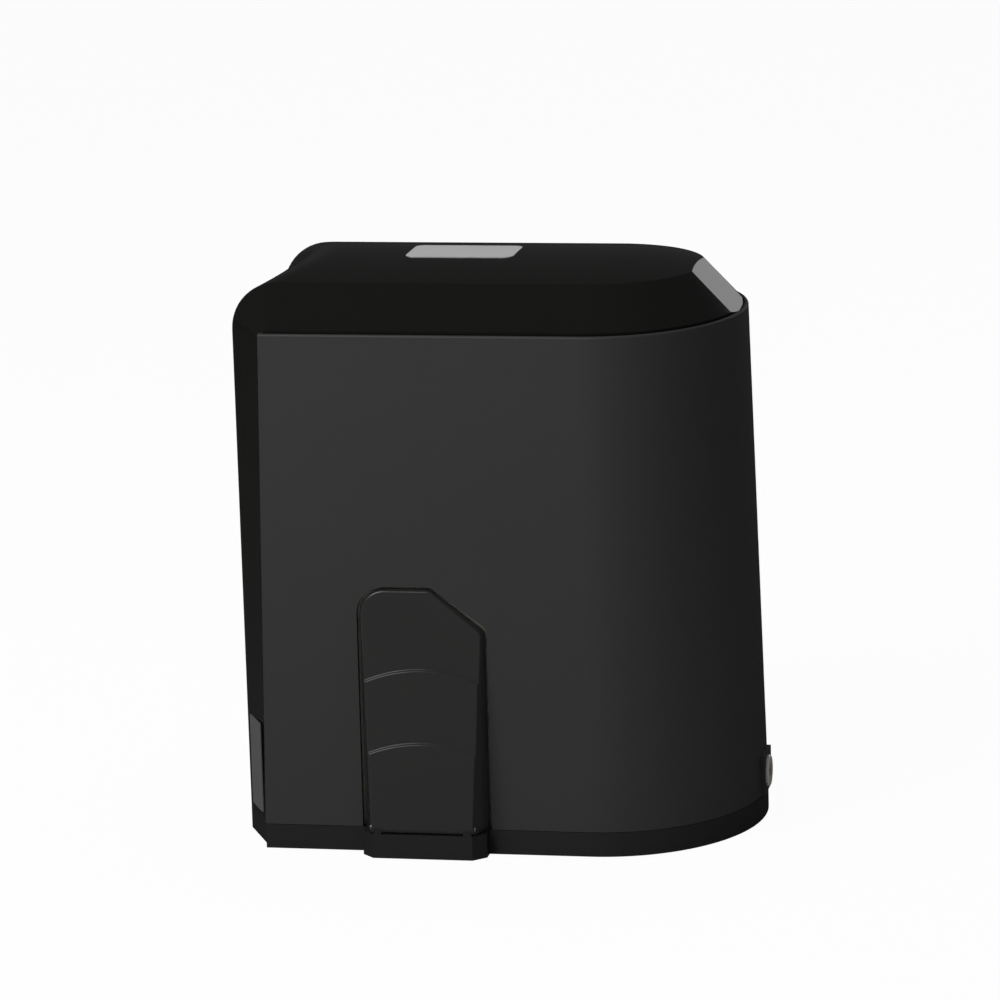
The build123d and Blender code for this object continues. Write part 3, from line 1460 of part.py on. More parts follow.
def board_blocks(places, width, height, depth, corner):
    """Group of blocks on the board's outer face, placed by Y and height above its lower edge."""
    with BuildPart() as group:
        with BuildSketch(Plane.YZ.offset(front_face)):
            with Locations(*[(y, board_low + z) for y, z in places]):
                RectangleRounded(width, height, corner)
        extrude(amount=-depth)
    return group


relays = board_blocks(relay_places, *relay_size)
save(relays, "relays")
receiver_module = board_blocks([receiver_place], *receiver_size)
save(receiver_module, "receiver_module")
fuse_holder = board_blocks([fuse_place], *fuse_size)
save(fuse_holder, "fuse_holder")
with BuildPart() as terminal_blocks:
    add(board_blocks(terminal_places, *terminal_size).part)
    with BuildSketch(Plane.YZ.offset(front_face - terminal_size[2])):
        with Locations(*[(y, board_low + z) for y, z in terminal_places]):
            with GridLocations(terminal_pitch, 0, terminal_ways, 1):
                Circle(terminal_hole)
    extrude(amount=terminal_hole_depth, mode=Mode.SUBTRACT)
save(terminal_blocks, "terminal_blocks")
with BuildPart() as smoothing_capacitor:
    with BuildSketch(Plane.YZ.offset(front_face)):
        with Locations((smoothing_place[0], board_low + smoothing_place[1])):
            Circle(smoothing_radius)
    extrude(amount=-smoothing_height)
save(smoothing_capacitor, "smoothing_capacitor")

# Learn switch on the board and its button
button_centre = (button_place[0], board_low + button_place[1])
button_seat = front_face - switch_height + switch_bore_depth
with BuildPart() as learn_switch:
    with BuildSketch(Plane.YZ.offset(front_face)):
        with Locations(button_centre):
            Rectangle(switch_size, switch_size)
    extrude(amount=-switch_height)
    with BuildSketch(Plane.YZ.offset(button_seat)):
        with Locations(button_centre):
            Circle(button_radius + 2 * fit_gap)
    extrude(amount=-switch_height, mode=Mode.SUBTRACT)
save(learn_switch, "learn_switch")
with BuildPart() as learn_button:
    with BuildSketch(Plane.YZ.offset(button_seat - button_travel - seat_gap)):
        with Locations(button_centre):
            Circle(button_radius)
    extrude(amount=-button_length)
save(learn_button, "learn_button")

# Transformer on the carrier, under the board
trafo_x = carrier_x - trafo_depth / 2
trafo_bay = trafo_depth - 2 * trafo_yoke
with BuildPart() as transformer_core:
    with BuildSketch(Plane.YZ.offset(carrier_x)):
        with Locations((0, trafo_z)):
            RectangleRounded(trafo_width, trafo_height, trafo_corner)
    extrude(amount=-trafo_depth)
    with BuildSketch(level(trafo_z - trafo_height, trafo_x)):
        Rectangle(trafo_bay, trafo_window)
    extrude(amount=2 * trafo_height, mode=Mode.SUBTRACT)
save(transformer_core, "transformer_core")
with BuildPart() as transformer_coil:
    with BuildSketch(level(trafo_z - coil_height / 2, trafo_x)):
        RectangleRounded(trafo_bay - 2 * coil_gap, trafo_window - 2 * coil_gap, coil_corner)
    extrude(amount=coil_height)
save(transformer_coil, "transformer_coil")

# Run capacitor in its cup at the round end
capacitor_x = round_end - capacitor_inset
capacitor_low = floor_thickness + cup_floor
with BuildPart() as capacitor_cup:
    with BuildSketch(level(floor_thickness, capacitor_x)):
        Circle(capacitor_radius + cup_wall)
    extrude(amount=cup_height)
    with BuildSketch(level(capacitor_low, capacitor_x)):
        Circle(capacitor_radius + fit_gap)
    extrude(amount=cup_height, mode=Mode.SUBTRACT)
save(capacitor_cup, "capacitor_cup")
with BuildPart() as run_capacitor:
    with BuildSketch(level(capacitor_low, capacitor_x)):
        Circle(capacitor_radius)
    extrude(amount=capacitor_height)
    chamfer(run_capacitor.edges().group_by(Axis.Z)[-1], capacitor_chamfer)
    with BuildSketch(level(capacitor_low + capacitor_height, capacitor_x)):
        with Locations((-blade_y, 0), (blade_y, 0)):
            Rectangle(*blade_size)
    extrude(amount=blade_height)
save(run_capacitor, "run_capacitor")

# Lock: barrel in the cover's pad, nut, turning plug and cam, and the keeper on the tray
lock_middle = (0, lock_z)
lock_inner = pad_face - lock_depth
cam_front = lock_inner - seat_gap - lock_cam_thickness
with BuildPart() as lock_barrel:
    with BuildSketch(Plane.YZ.offset(lock_inner)):
        with Locations(lock_middle):
            Circle(lock_barrel_radius)
    extrude(amount=lock_depth)
    with BuildSketch(Plane.YZ.offset(pad_face)):
        with Locations(lock_middle):
            Circle(lock_flange_radius)
    extrude(amount=lock_rim)
    chamfer(lock_barrel.edges().group_by(Axis.X)[-1], lock_chamfer)
    with BuildSketch(Plane.YZ.offset(lock_inner)):
        with Locations(lock_middle):
            Circle(lock_plug_radius + 2 * fit_gap)
    extrude(amount=lock_depth + 2 * lock_rim, mode=Mode.SUBTRACT)
save(lock_barrel, "lock_barrel")
with BuildPart() as lock_nut:
    with BuildSketch(Plane.YZ.offset(pad_back - lock_nut_thickness)):
        with Locations(lock_middle):
            RegularPolygon(lock_nut_radius, 6)
            Circle(lock_barrel_radius, mode=Mode.SUBTRACT)
    extrude(amount=lock_nut_thickness)
save(lock_nut, "lock_nut")
with BuildPart() as lock_plug:
    with BuildSketch(Plane.YZ.offset(lock_inner - seat_gap)):
        with Locations(lock_middle):
            Circle(lock_plug_radius)
    extrude(amount=lock_face - seat_gap - lock_inner)
    with BuildSketch(Plane.YZ.offset(lock_face - key_slot_depth)):
        with Locations(lock_middle):
            Rectangle(*key_slot)
    extrude(amount=key_slot_depth, mode=Mode.SUBTRACT)
save(lock_plug, "lock_plug")
with BuildPart() as lock_cam:
    with BuildSketch(Plane.YZ.offset(cam_front)):
        with Locations((0, lock_z - lock_cam_length / 2)):
            Rectangle(lock_cam_width, lock_cam_length)
        with Locations(lock_middle):
            Circle(lock_cam_hub)
    extrude(amount=lock_cam_thickness)
save(lock_cam, "lock_cam")
hook_low = lock_z + lock_cam_width / 2 + keeper_hook_gap
hook_top = hook_low + keeper_hook
keeper_foot_z = floor_thickness + keeper_foot_thickness
keeper_back_y = keeper_post_y + keeper_wall
with BuildPart() as lock_keeper:
    with BuildSketch(Plane.YZ.offset(cam_front - keeper_offset)):
        with BuildLine():
            Polyline((keeper_post_y, floor_thickness), (keeper_post_y, hook_low),
                     (keeper_hook_y, hook_low), (keeper_hook_y, hook_top), (keeper_back_y, hook_top),
                     (keeper_back_y, keeper_foot_z), (keeper_back_y + keeper_foot, keeper_foot_z),
                     (keeper_back_y + keeper_foot, floor_thickness), close=True)
        make_face()
    extrude(amount=keeper_width)
save(lock_keeper, "lock_keeper")
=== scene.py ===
from math import cos, radians, sin, tau
import bpy
import numpy as np
from mathutils import Matrix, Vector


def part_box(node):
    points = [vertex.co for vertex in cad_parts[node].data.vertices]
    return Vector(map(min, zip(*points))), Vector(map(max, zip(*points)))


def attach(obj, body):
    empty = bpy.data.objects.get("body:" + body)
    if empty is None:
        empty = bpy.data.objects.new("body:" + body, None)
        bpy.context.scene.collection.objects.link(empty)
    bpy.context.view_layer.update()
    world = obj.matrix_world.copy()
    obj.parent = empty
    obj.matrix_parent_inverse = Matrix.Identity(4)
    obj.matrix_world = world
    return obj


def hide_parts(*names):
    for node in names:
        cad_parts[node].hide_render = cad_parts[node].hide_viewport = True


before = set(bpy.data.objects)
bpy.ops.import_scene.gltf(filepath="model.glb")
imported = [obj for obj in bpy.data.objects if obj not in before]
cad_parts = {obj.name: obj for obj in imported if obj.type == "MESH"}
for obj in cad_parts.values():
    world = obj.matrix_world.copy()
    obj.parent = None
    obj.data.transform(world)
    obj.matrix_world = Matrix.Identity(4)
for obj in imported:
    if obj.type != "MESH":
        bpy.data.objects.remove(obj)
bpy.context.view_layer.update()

# Base tray: a die-cast aluminium pan under dark powder paint. It carries every other piece,
# stands on its flat underside and meets the cover at a narrow seam.


def fill(node, values):
    """Set inputs of a node by their labels."""
    for label, value in values.items():
        node.inputs[label].default_value = value


def reckon(tree, operation, *sources):
    """Output of a new arithmetic node whose inputs are the given numbers and outputs."""
    node = tree.nodes.new("ShaderNodeMath")
    node.operation = operation
    for socket, source in zip(node.inputs, sources):
        if isinstance(source, float):
            socket.default_value = source
        else:
            tree.links.new(source, socket)
    return node.outputs[0]


def skin_effect():
    """Shared effect for moulded and cast skins, on Object coordinates.

    Slow noise lightens and darkens the tone by the drift, and middle noise adds to the
    roughness. Fine noise of the given grain is the height.
    """
    group = bpy.data.node_groups.new("moulded_skin", "ShaderNodeTree")
    for way, label, kind in (("INPUT", "Tone", "Color"), ("INPUT", "Drift", "Float"),
                             ("INPUT", "Rough", "Float"), ("INPUT", "Grain", "Float"),
                             ("OUTPUT", "Color", "Color"), ("OUTPUT", "Roughness", "Float"),
                             ("OUTPUT", "Height", "Float")):
        group.interface.new_socket(label, in_out=way, socket_type="NodeSocket" + kind)
    nodes, links = group.nodes, group.links
    start, end = nodes.new("NodeGroupInput"), nodes.new("NodeGroupOutput")
    place = nodes.new("ShaderNodeTexCoord")
    fine, middle, slow = (nodes.new("ShaderNodeTexNoise") for _ in range(3))
    fill(slow, {"Scale": 7.0, "Detail": 3.0})
    fill(middle, {"Scale": 60.0, "Detail": 4.0})
    fill(fine, {"Detail": 2.0})
    for noise in (fine, middle, slow):
        links.new(place.outputs["Object"], noise.inputs["Vector"])
    links.new(start.outputs["Grain"], fine.inputs["Scale"])
    lift = reckon(group, "SUBTRACT", slow.outputs["Fac"], 0.5)
    share = reckon(group, "MULTIPLY_ADD", lift, start.outputs["Drift"], 1.0)
    toned = nodes.new("ShaderNodeVectorMath")
    toned.operation = "SCALE"
    links.new(start.outputs["Tone"], toned.inputs[0])
    links.new(share, toned.inputs["Scale"])
    rough_spread = 0.06
    rough = reckon(group, "MULTIPLY_ADD", middle.outputs["Fac"], rough_spread, start.outputs["Rough"])
    links.new(toned.outputs["Vector"], end.inputs["Color"])
    links.new(rough, end.inputs["Roughness"])
    links.new(fine.outputs["Fac"], end.inputs["Height"])
    return group


moulded_skin = skin_effect()


def skin_finish(name, tone, rough, grain, depth, drift=0.2, metal=0.0):
    """Material of a moulded or cast skin: tone in linear colour, grain per metre, depth in metres."""
    material = bpy.data.materials.new(name)
    material.use_nodes = True
    nodes, links = material.node_tree.nodes, material.node_tree.links
    shader = nodes["Principled BSDF"]
    fill(shader, {"Metallic": metal})
    skin = nodes.new("ShaderNodeGroup")
    skin.node_tree = moulded_skin
    fill(skin, {"Tone": (*tone, 1.0), "Drift": drift, "Rough": rough, "Grain": grain})
    bump = nodes.new("ShaderNodeBump")
    fill(bump, {"Strength": 1.0, "Distance": depth})
    links.new(skin.outputs["Color"], shader.inputs["Base Color"])
    links.new(skin.outputs["Roughness"], shader.inputs["Roughness"])
    links.new(skin.outputs["Height"], bump.inputs["Height"])
    links.new(bump.outputs["Normal"], shader.inputs["Normal"])
    return material


def dress(material, *names):
    """Give the named solids this one material."""
    for name in names:
        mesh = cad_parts[name].data
        mesh.materials.clear()
        mesh.materials.append(material)


tray_paint = skin_finish("tray_paint", (0.014, 0.014, 0.014), 0.42, 1500.0, 0.00004)
dress(tray_paint, "base_tray")

# Zinc-plated steel screws, brackets and nuts: bright, slightly yellow and a little uneven.
zinc_plate = skin_finish("zinc_plate", (0.60, 0.58, 0.50), 0.3, 900.0, 0.000006, metal=0.6)
dress(zinc_plate, "foot_screws", "gearbox_screws", "motor_bolts", "spine_screws",
      "backplate_screws", "pinion_screw", "pinion_washer", "lock_nut", "lock_cam", "lock_keeper",
      "board_carrier", "lever_backplate")

# Rubber pieces: the grommet pressed into the cable hole and the lip seal of the shaft.
soft_rubber = skin_finish("soft_rubber", (0.010, 0.010, 0.010), 0.62, 1200.0, 0.00002)
dress(soft_rubber, "cable_grommet", "shaft_seal")

# Gearbox and motor castings: sand-blasted die-cast aluminium, dull with a pebbled skin.
cast_skin = skin_finish("cast_skin", (0.42, 0.43, 0.44), 0.42, 700.0, 0.00006, metal=0.5)
dress(cast_skin, "gearbox_housing", "gearbox_cover", "motor_housing", "motor_end_cap")

# Machined steel of the shafts, clutch and pinion: fine tool lines run round each turned face,
# so the lines follow the depth of the gate side and the height of the rotor.


def turned_finish(name, tone, rough, axis, pitch, depth):
    """Material of a turned face: even waves along one axis, pitch per metre, over the shared skin."""
    material = skin_finish(name, tone, rough, 400.0, depth, 0.15, metal=0.6)
    nodes, links = material.node_tree.nodes, material.node_tree.links
    place = nodes.new("ShaderNodeTexCoord")
    lines = nodes.new("ShaderNodeTexWave")
    lines.wave_type = "BANDS"
    lines.bands_direction = axis
    fill(lines, {"Scale": pitch, "Distortion": 0.6, "Detail": 2.0})
    links.new(place.outputs["Object"], lines.inputs["Vector"])
    bump = next(node for node in nodes if node.type == "BUMP")
    links.new(lines.outputs["Fac"], bump.inputs["Height"])
    return material


machined_steel = (0.36, 0.36, 0.37)
cross_turned = turned_finish("cross_turned", machined_steel, 0.24, "Y", 500.0, 0.00001)
dress(cross_turned, "output_shaft", "clutch_dog", "release_rod", "wheel_spacer",
      "bearing_spacer", "pinion_key", "output_bearing_inner", "output_bearing_outer",
      "clutch_spring")
upright_turned = turned_finish("upright_turned", machined_steel, 0.22, "Z", 500.0, 0.00001)
dress(upright_turned, "worm_shaft", "worm_bearing_lower", "worm_bearing_upper",
      "rotor_bearing_top")
pinion_steel = turned_finish("pinion_steel", (0.30, 0.30, 0.31), 0.30, "Y", 260.0, 0.00002)
dress(pinion_steel, "drive_pinion", "lever_pin")

# Bronze worm wheel, hobbed on the steel hub.
wheel_bronze = turned_finish("wheel_bronze", (0.55, 0.33, 0.11), 0.28, "Y", 320.0, 0.00001)
dress(wheel_bronze, "worm_wheel")

# Stator, rotor and transformer cores: thin steel sheets stacked and pressed together.
sheet_stack = turned_finish("sheet_stack", (0.20, 0.20, 0.21), 0.45, "Z", 600.0, 0.00008)
dress(sheet_stack, "stator_core", "rotor_core", "transformer_core")

# Windings: enamelled copper wire laid in tight turns, varnished and tied.
copper_wire = turned_finish("copper_wire", (0.55, 0.20, 0.07), 0.30, "Z", 420.0, 0.0003)
dress(copper_wire, "stator_windings", "transformer_coil")

# Control board: glass-fibre laminate under green solder mask, with paler copper tracks below
# the mask in a rectangular pattern.
mask_green = (0.012, 0.10, 0.035)
board_mask = skin_finish("board_mask", mask_green, 0.30, 500.0, 0.00001)
board_nodes, board_links = board_mask.node_tree.nodes, board_mask.node_tree.links
board_place = board_nodes.new("ShaderNodeTexCoord")
board_turn = board_nodes.new("ShaderNodeMapping")
tracks = board_nodes.new("ShaderNodeTexBrick")
fill(board_turn, {"Rotation": (0.0, radians(90), 0.0)})
fill(tracks, {"Color1": (*mask_green, 1.0), "Color2": (0.010, 0.085, 0.030, 1.0),
              "Mortar": (0.05, 0.22, 0.08, 1.0), "Scale": 90.0, "Mortar Size": 0.03})
board_links.new(board_place.outputs["Object"], board_turn.inputs["Vector"])
board_links.new(board_turn.outputs["Vector"], tracks.inputs["Vector"])
board_links.new(tracks.outputs["Color"], board_nodes["Principled BSDF"].inputs["Base Color"])
dress(board_mask, "control_board")

# Moulded blocks on the board and the switch gear: filled nylon in black, grey, green and white.
black_nylon = skin_finish("black_nylon", (0.012, 0.012, 0.012), 0.40, 1500.0, 0.00002)
dress(black_nylon, "limit_box", "fuse_holder", "learn_switch", "smoothing_capacitor", "relays")
grey_nylon = skin_finish("grey_nylon", (0.09, 0.10, 0.09), 0.45, 1500.0, 0.00002)
dress(grey_nylon, "limit_head", "capacitor_cup", "receiver_module")
green_nylon = skin_finish("green_nylon", (0.02, 0.22, 0.07), 0.40, 1500.0, 0.00002)
dress(green_nylon, "terminal_blocks")
white_nylon = skin_finish("white_nylon", (0.62, 0.62, 0.58), 0.38, 1500.0, 0.00001)
dress(white_nylon, "run_capacitor", "learn_button")

# Limit switch finger: a close-wound steel coil that bends when the stop on the gate pushes it.
# It stands in the socket of the switch head, outside the cover.


def coil_surface(centre, low, high, radius, wire, turns):
    """Tube on a helix round a vertical line, as rings of points.

    The path turns at a constant radius while it rises from low to high. Round each point lies a
    circle of the wire's radius, in the plane of the outward direction and the path's normal, and
    both ends shrink nearly to a point.
    """
    ring_points, rings_a_turn, end_share = 8, 14, 0.05
    around = np.linspace(0, tau, ring_points, endpoint=False)
    along = np.linspace(0, 1, turns * rings_a_turn + 1)
    angle = tau * turns * along
    rise = (high - low) / (tau * turns)
    out = np.stack([np.cos(angle), np.sin(angle), np.zeros_like(angle)], 1)
    ahead = np.stack([-radius * np.sin(angle), radius * np.cos(angle),
                      np.full_like(angle, rise)], 1)
    ahead /= np.linalg.norm(ahead, axis=1, keepdims=True)
    side = np.cross(ahead, out)
    size = wire * np.ones_like(along)
    size[[0, -1]] = wire * end_share
    middle = np.array(centre) + radius * out
    middle[:, 2] += low + (high - low) * along
    swing = (np.cos(around)[None, :, None] * out[:, None]
             + np.sin(around)[None, :, None] * side[:, None])
    return middle[:, None] + size[:, None, None] * swing


def band(near, far):
    """Cells between two closed rings of points that run the same way round."""
    return np.stack([near, np.roll(near, -1, axis=-1), np.roll(far, -1, axis=-1), far], -1).reshape(-1, 4)


def new_piece(name, points, faces, material, smooth):
    """Object at the origin with these points in metres, these faces and this one material."""
    mesh = bpy.data.meshes.new(name)
    mesh.from_pydata(points.reshape(-1, 3).tolist(), [], faces)
    if smooth:
        mesh.shade_smooth()
    mesh.materials.append(material)
    piece = bpy.data.objects.new(name, mesh)
    bpy.context.scene.collection.objects.link(piece)
    return piece


spring_steel = skin_finish("spring_steel", (0.45, 0.45, 0.46), 0.22, 800.0, 0.000005, metal=1.0)
finger_low, finger_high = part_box("limit_spring")
finger_wire, finger_turns = 0.0007, 34
finger_rings = coil_surface(
    ((finger_low.x + finger_high.x) / 2, (finger_low.y + finger_high.y) / 2, 0.0),
    finger_low.z + finger_wire, finger_high.z - finger_wire,
    (finger_high.x - finger_low.x) / 2 - finger_wire, finger_wire, finger_turns)
finger_index = np.arange(finger_rings[..., 0].size).reshape(finger_rings.shape[:2])
finger_faces = band(finger_index[:-1], finger_index[1:]).tolist()
finger_faces += [finger_index[0, ::-1].tolist(), finger_index[-1].tolist()]
finger = new_piece("switch_finger", finger_rings, finger_faces, spring_steel, smooth=True)
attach(finger, "limit_finger")
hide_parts("limit_spring")

# Release lever: a polished hollow moulding in the window of the cover. Its face steps outward at
# two bowed ledges with softly rounded edges, and it swings out on the pin at its foot.
lever_gloss = skin_finish("lever_gloss", (0.026, 0.026, 0.0255), 0.12, 300.0, 0.000003)
lever_left, lever_right, lever_top = -0.073, -0.0025, 0.1505
lever_middle, lever_half = (lever_left + lever_right) / 2, (lever_right - lever_left) / 2
slant_left, slant_low = -0.0325, 0.1275
crown_round, slant_round, edge_round = 0.0145, 0.006, 0.0008
face_top, face_lean, ledge_step, ledge_bow = -0.0957, 0.08927, 0.0013, 0.008
ledge_high, ledge_low, ledge_soft = 0.106, 0.065, 0.0006
bow_top, bow_foot = 0.124, 0.025
skirt_back, wall_start, wall_draft, lever_wall = -0.0913, -0.0938, radians(22), 0.0025
knuckle_y, knuckle_z, knuckle_round, knuckle_back = -0.1071, 0.0172, 0.00315, -0.1045


def eased(share):
    """Smooth step from nothing to one: three times the square less twice the cube."""
    share = np.clip(share, 0, 1)
    return share * share * (3 - 2 * share)


def lever_heights():
    """Heights of the rows from the top to the knuckle, close together where the face curves."""
    above, below = ledge_high + 2 * ledge_soft, ledge_high - 2 * ledge_soft
    return np.concatenate([
        lever_top - (lever_top - bow_top) * np.linspace(0, 1, 30) ** 2,
        np.linspace(bow_top, above, 10)[1:],
        np.linspace(ledge_high + ledge_soft, ledge_high - ledge_soft, 11),
        np.linspace(below, ledge_low + 2 * ledge_soft, 18),
        np.linspace(ledge_low + ledge_soft, ledge_low - ledge_soft, 11),
        np.linspace(ledge_low - 2 * ledge_soft, knuckle_z, 20)])


def lever_edges(heights):
    """Points and outward directions of the left and the right edge at the given heights.

    The left edge is an upright line under a quarter circle. The right edge is an upright line, an
    arc, the slant and a second arc that ends level at the top.
    """
    slant = np.arctan2(lever_top - slant_low, lever_right - slant_left)
    upright = np.pi / 2 - slant
    low_turn, high_turn = np.linspace(0, upright, 12), np.linspace(upright, np.pi / 2, 8)
    steps = (len(low_turn), len(high_turn))
    right_x = np.repeat([lever_right - slant_round, slant_left - slant_round * np.tan(slant / 2)], steps)
    right_z = np.repeat([slant_low - slant_round * np.tan(upright / 2), lever_top - slant_round], steps)
    edges = []
    for sign, radius, x, z, turn in (
            (-1, crown_round, lever_left + crown_round, lever_top - crown_round,
             np.linspace(0, np.pi / 2, 24)),
            (1, slant_round, right_x, right_z, np.concatenate([low_turn, high_turn]))):
        edge_x, edge_z = x + sign * radius * np.cos(turn), z + radius * np.sin(turn)
        angle = np.interp(heights, edge_z, turn)
        edges.append((np.stack([np.interp(heights, edge_z, edge_x), heights], 1),
                      np.stack([sign * np.cos(angle), np.sin(angle)], 1)))
    return edges


def lever_sheet(grow, depth):
    """Front sheet of the lever, with its edge moved outward by grow and all of it set back by depth.

    Going down, the sheet leans outward in proportion to the height and gains one step at each
    ledge. Rows drop by the bow times the square of the distance from the middle. The edge lies
    inside the outline by the draft's tangent times the depth of the wall. A last arc rounds the foot.
    """
    heights, columns = lever_heights(), np.linspace(0, 1, 41)
    (left, left_out), (right, right_out) = lever_edges(heights)
    bow_end = ledge_low - 2 * ledge_soft
    bow = ledge_bow * (eased((bow_top - heights) / (bow_top - ledge_high))
                       * eased((heights - bow_foot) / (bow_end - bow_foot)))
    steps = sum(eased((level + ledge_soft - heights) / (2 * ledge_soft)) for level in (ledge_high, ledge_low))
    inset = np.zeros((2, len(heights)))
    settling_rounds = 4
    for _ in range(settling_rounds):
        first = left - left_out * (inset[0] - grow)[:, None]
        last = right - right_out * (inset[1] - grow)[:, None]
        x = first[:, :1] + (last[:, :1] - first[:, :1]) * columns
        z = first[:, 1:] + (last[:, 1:] - first[:, 1:]) * columns
        z = z - bow[:, None] * ((x - lever_middle) / lever_half) ** 2
        y = face_top - face_lean * (lever_top - z) - ledge_step * steps[:, None]
        inset = np.tan(wall_draft) * (wall_start - y[:, [0, -1]].T)
    turn = np.linspace(0, np.pi / 2, 8)[1:, None]
    radius = knuckle_round - depth
    foot_y, foot_z = knuckle_y - radius * np.cos(turn), knuckle_z - radius * np.sin(turn)
    foot_inset = np.tan(wall_draft) * (wall_start - foot_y) - grow
    foot_x = lever_left + foot_inset + (lever_right - lever_left - 2 * foot_inset) * columns
    foot = np.broadcast_arrays(foot_x, foot_y, foot_z)
    return np.concatenate([np.stack([x, y + depth, z], -1), np.stack(foot, -1)])


def sheet_cells(rows, columns):
    """Cells of a sheet of points, and the ring of points round its edge.

    The ring runs along the first row, down the last column, back along the last row and up the
    first column.
    """
    index = np.arange(rows * columns).reshape(rows, columns)
    cells = np.stack([index[:-1, :-1], index[1:, :-1], index[1:, 1:], index[:-1, 1:]], -1)
    ring = np.concatenate([index[0], index[1:, -1], index[-1, -2::-1], index[-2:0:-1, 0]])
    return cells.reshape(-1, 4), ring


def lever_shell():
    """Points and faces of the closed lever.

    The front sheet's edge is followed by rings over a rounded edge, whose arc runs from the face
    to the wall, then by rings at the foot of the drafted wall and at the back of the skirt. One
    more ring lies a wall's thickness inside, and joins the inner sheet, which is the front sheet
    set back and drawn in. The outward direction is nothing along the foot, where no wall stands.
    """
    arc_end = np.pi / 2 - wall_draft
    arc_reach = edge_round * np.tan(arc_end / 2)
    front = lever_sheet(-arc_reach, 0.0)
    rows, columns = front.shape[:2]
    cells, ring = sheet_cells(rows, columns)
    rings = []
    for turn in np.linspace(0, arc_end, 6)[1:]:
        sheet = lever_sheet(edge_round * np.sin(turn) - arc_reach, edge_round * (1 - np.cos(turn)))
        rings.append(sheet.reshape(-1, 3)[ring])
    out = np.zeros((rows, columns, 2))
    out[:, 0, 0], out[:, -1, 0] = -1.0, 1.0
    heights = lever_heights()
    (_, left_out), (_, right_out) = lever_edges(heights)
    out[:len(heights), 0], out[:len(heights), -1] = left_out, right_out
    out[0] = (0.0, 1.0)
    out = out.reshape(-1, 2)[ring]
    at_foot = (ring > rows * columns - columns) & (ring < rows * columns - 1)
    base = lever_sheet(0.0, 0.0).reshape(-1, 3)[ring]
    base[:, [0, 2]] += out * (np.tan(wall_draft) * (wall_start - base[:, 1]))[:, None]
    for back, foot_back in ((wall_start, (knuckle_y + knuckle_back) / 2), (skirt_back, knuckle_back)):
        base[:, 1] = np.where(at_foot, foot_back, back)
        rings.append(base.copy())
    base[:, [0, 2]] -= out * lever_wall
    base[:, 2] += at_foot * lever_wall / 2
    rings.append(base)
    inner = lever_sheet(-lever_wall, lever_wall)
    starts = rows * columns + len(ring) * np.arange(len(rings) + 1)
    chain = [ring, *(start + np.arange(len(ring)) for start in starts[:-1]), ring + starts[-1]]
    faces = [cells, *(band(near, far) for near, far in zip(chain, chain[1:])),
             cells[:, ::-1] + starts[-1]]
    points = np.concatenate([front.reshape(-1, 3), *rings, inner.reshape(-1, 3)])
    return points, np.concatenate(faces).tolist()


lever = new_piece("lever_moulding", *lever_shell(), lever_gloss, smooth=True)
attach(lever, "lever")
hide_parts("release_lever")

# Side shell: a drafted moulding in dark grey with a fine matt grain, open at the left end.
shell_grain = skin_finish("shell_grain", (0.026, 0.026, 0.026), 0.56, 1800.0, 0.00005, drift=0.1)
dress(shell_grain, "side_shell")

# Spine: a polished black moulding that forms the left end, the bevels and the crowned roof. Each
# bevel carries a thin moulded cap over the pilot holes of the screws below it.
spine_gloss = skin_finish("spine_gloss", (0.007, 0.007, 0.0065), 0.10, 240.0, 0.000003)
dress(spine_gloss, "spine_shell")
bevel_start, bevel_bend, bevel_turn = -0.118, 0.0547, radians(24)
bevel_rim, bevel_rim_z, bevel_crown, bevel_crown_z = 0.0885, 0.29548, 0.0655, 0.31723
bevel_shape = 0.0752 / 0.089
bevel_proud, bevel_deep = 0.00005, 0.0006


def bevel_cap(name, side):
    """Closed thin cap on one bevel: an even slope from the rim to the crown.

    Up to the bend the slope runs straight. Beyond it each line across turns about the middle of
    the round end on an ellipse, whose length is the given share of its width.
    """
    along, across = np.linspace(0, 1, 24), np.linspace(0, 1, 8)
    fall, rise = bevel_rim - bevel_crown, bevel_crown_z - bevel_rim_z
    run = np.hypot(fall, rise)
    sheets = []
    for lift in (bevel_proud, -bevel_deep):
        out = bevel_rim - fall * across + lift * rise / run
        height = bevel_rim_z + rise * across + lift * fall / run
        straight_x = (bevel_start + (bevel_bend - bevel_start) * along)[:, None]
        turn = (bevel_turn * along[1:])[:, None]
        curved_x = bevel_bend + bevel_shape * out * np.sin(turn)
        sheets += [np.stack(np.broadcast_arrays(straight_x, side * out, height), -1),
                   np.stack(np.broadcast_arrays(curved_x, side * out * np.cos(turn), height), -1)]
    points = np.concatenate(sheets)
    rows, columns = len(points) // 2, len(across)
    cells, ring = sheet_cells(rows, columns)
    under = rows * columns
    faces = np.concatenate([cells, band(ring, ring + under), cells[:, ::-1] + under])
    if side > 0:
        faces = faces[:, ::-1]
    piece = new_piece(name, points, faces.tolist(), spine_gloss, smooth=False)
    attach(piece, "cover")


bevel_cap("front_bevel_cap", -1)
bevel_cap("back_bevel_cap", 1)

# Two bare plates: a brushed aluminium one let into the roof and a grey film on the left facet.
brushed_plate = turned_finish("brushed_plate", (0.72, 0.72, 0.72), 0.34, "Y", 900.0, 0.000004)
fill(brushed_plate.node_tree.nodes["Principled BSDF"], {"Metallic": 0.35})
dress(brushed_plate, "roof_badge")
grey_film = skin_finish("grey_film", (0.10, 0.10, 0.10), 0.35, 900.0, 0.00001)
dress(grey_film, "side_plate")

# Cover lock: a chromed barrel with a brass plug, pushed through the pad at the round end.
lock_chrome = skin_finish("lock_chrome", (0.62, 0.60, 0.56), 0.2, 500.0, 0.000003, metal=0.5)
dress(lock_chrome, "lock_barrel")
plug_brass = skin_finish("plug_brass", (0.66, 0.45, 0.14), 0.20, 500.0, 0.000005, metal=1.0)
dress(plug_brass, "lock_plug")

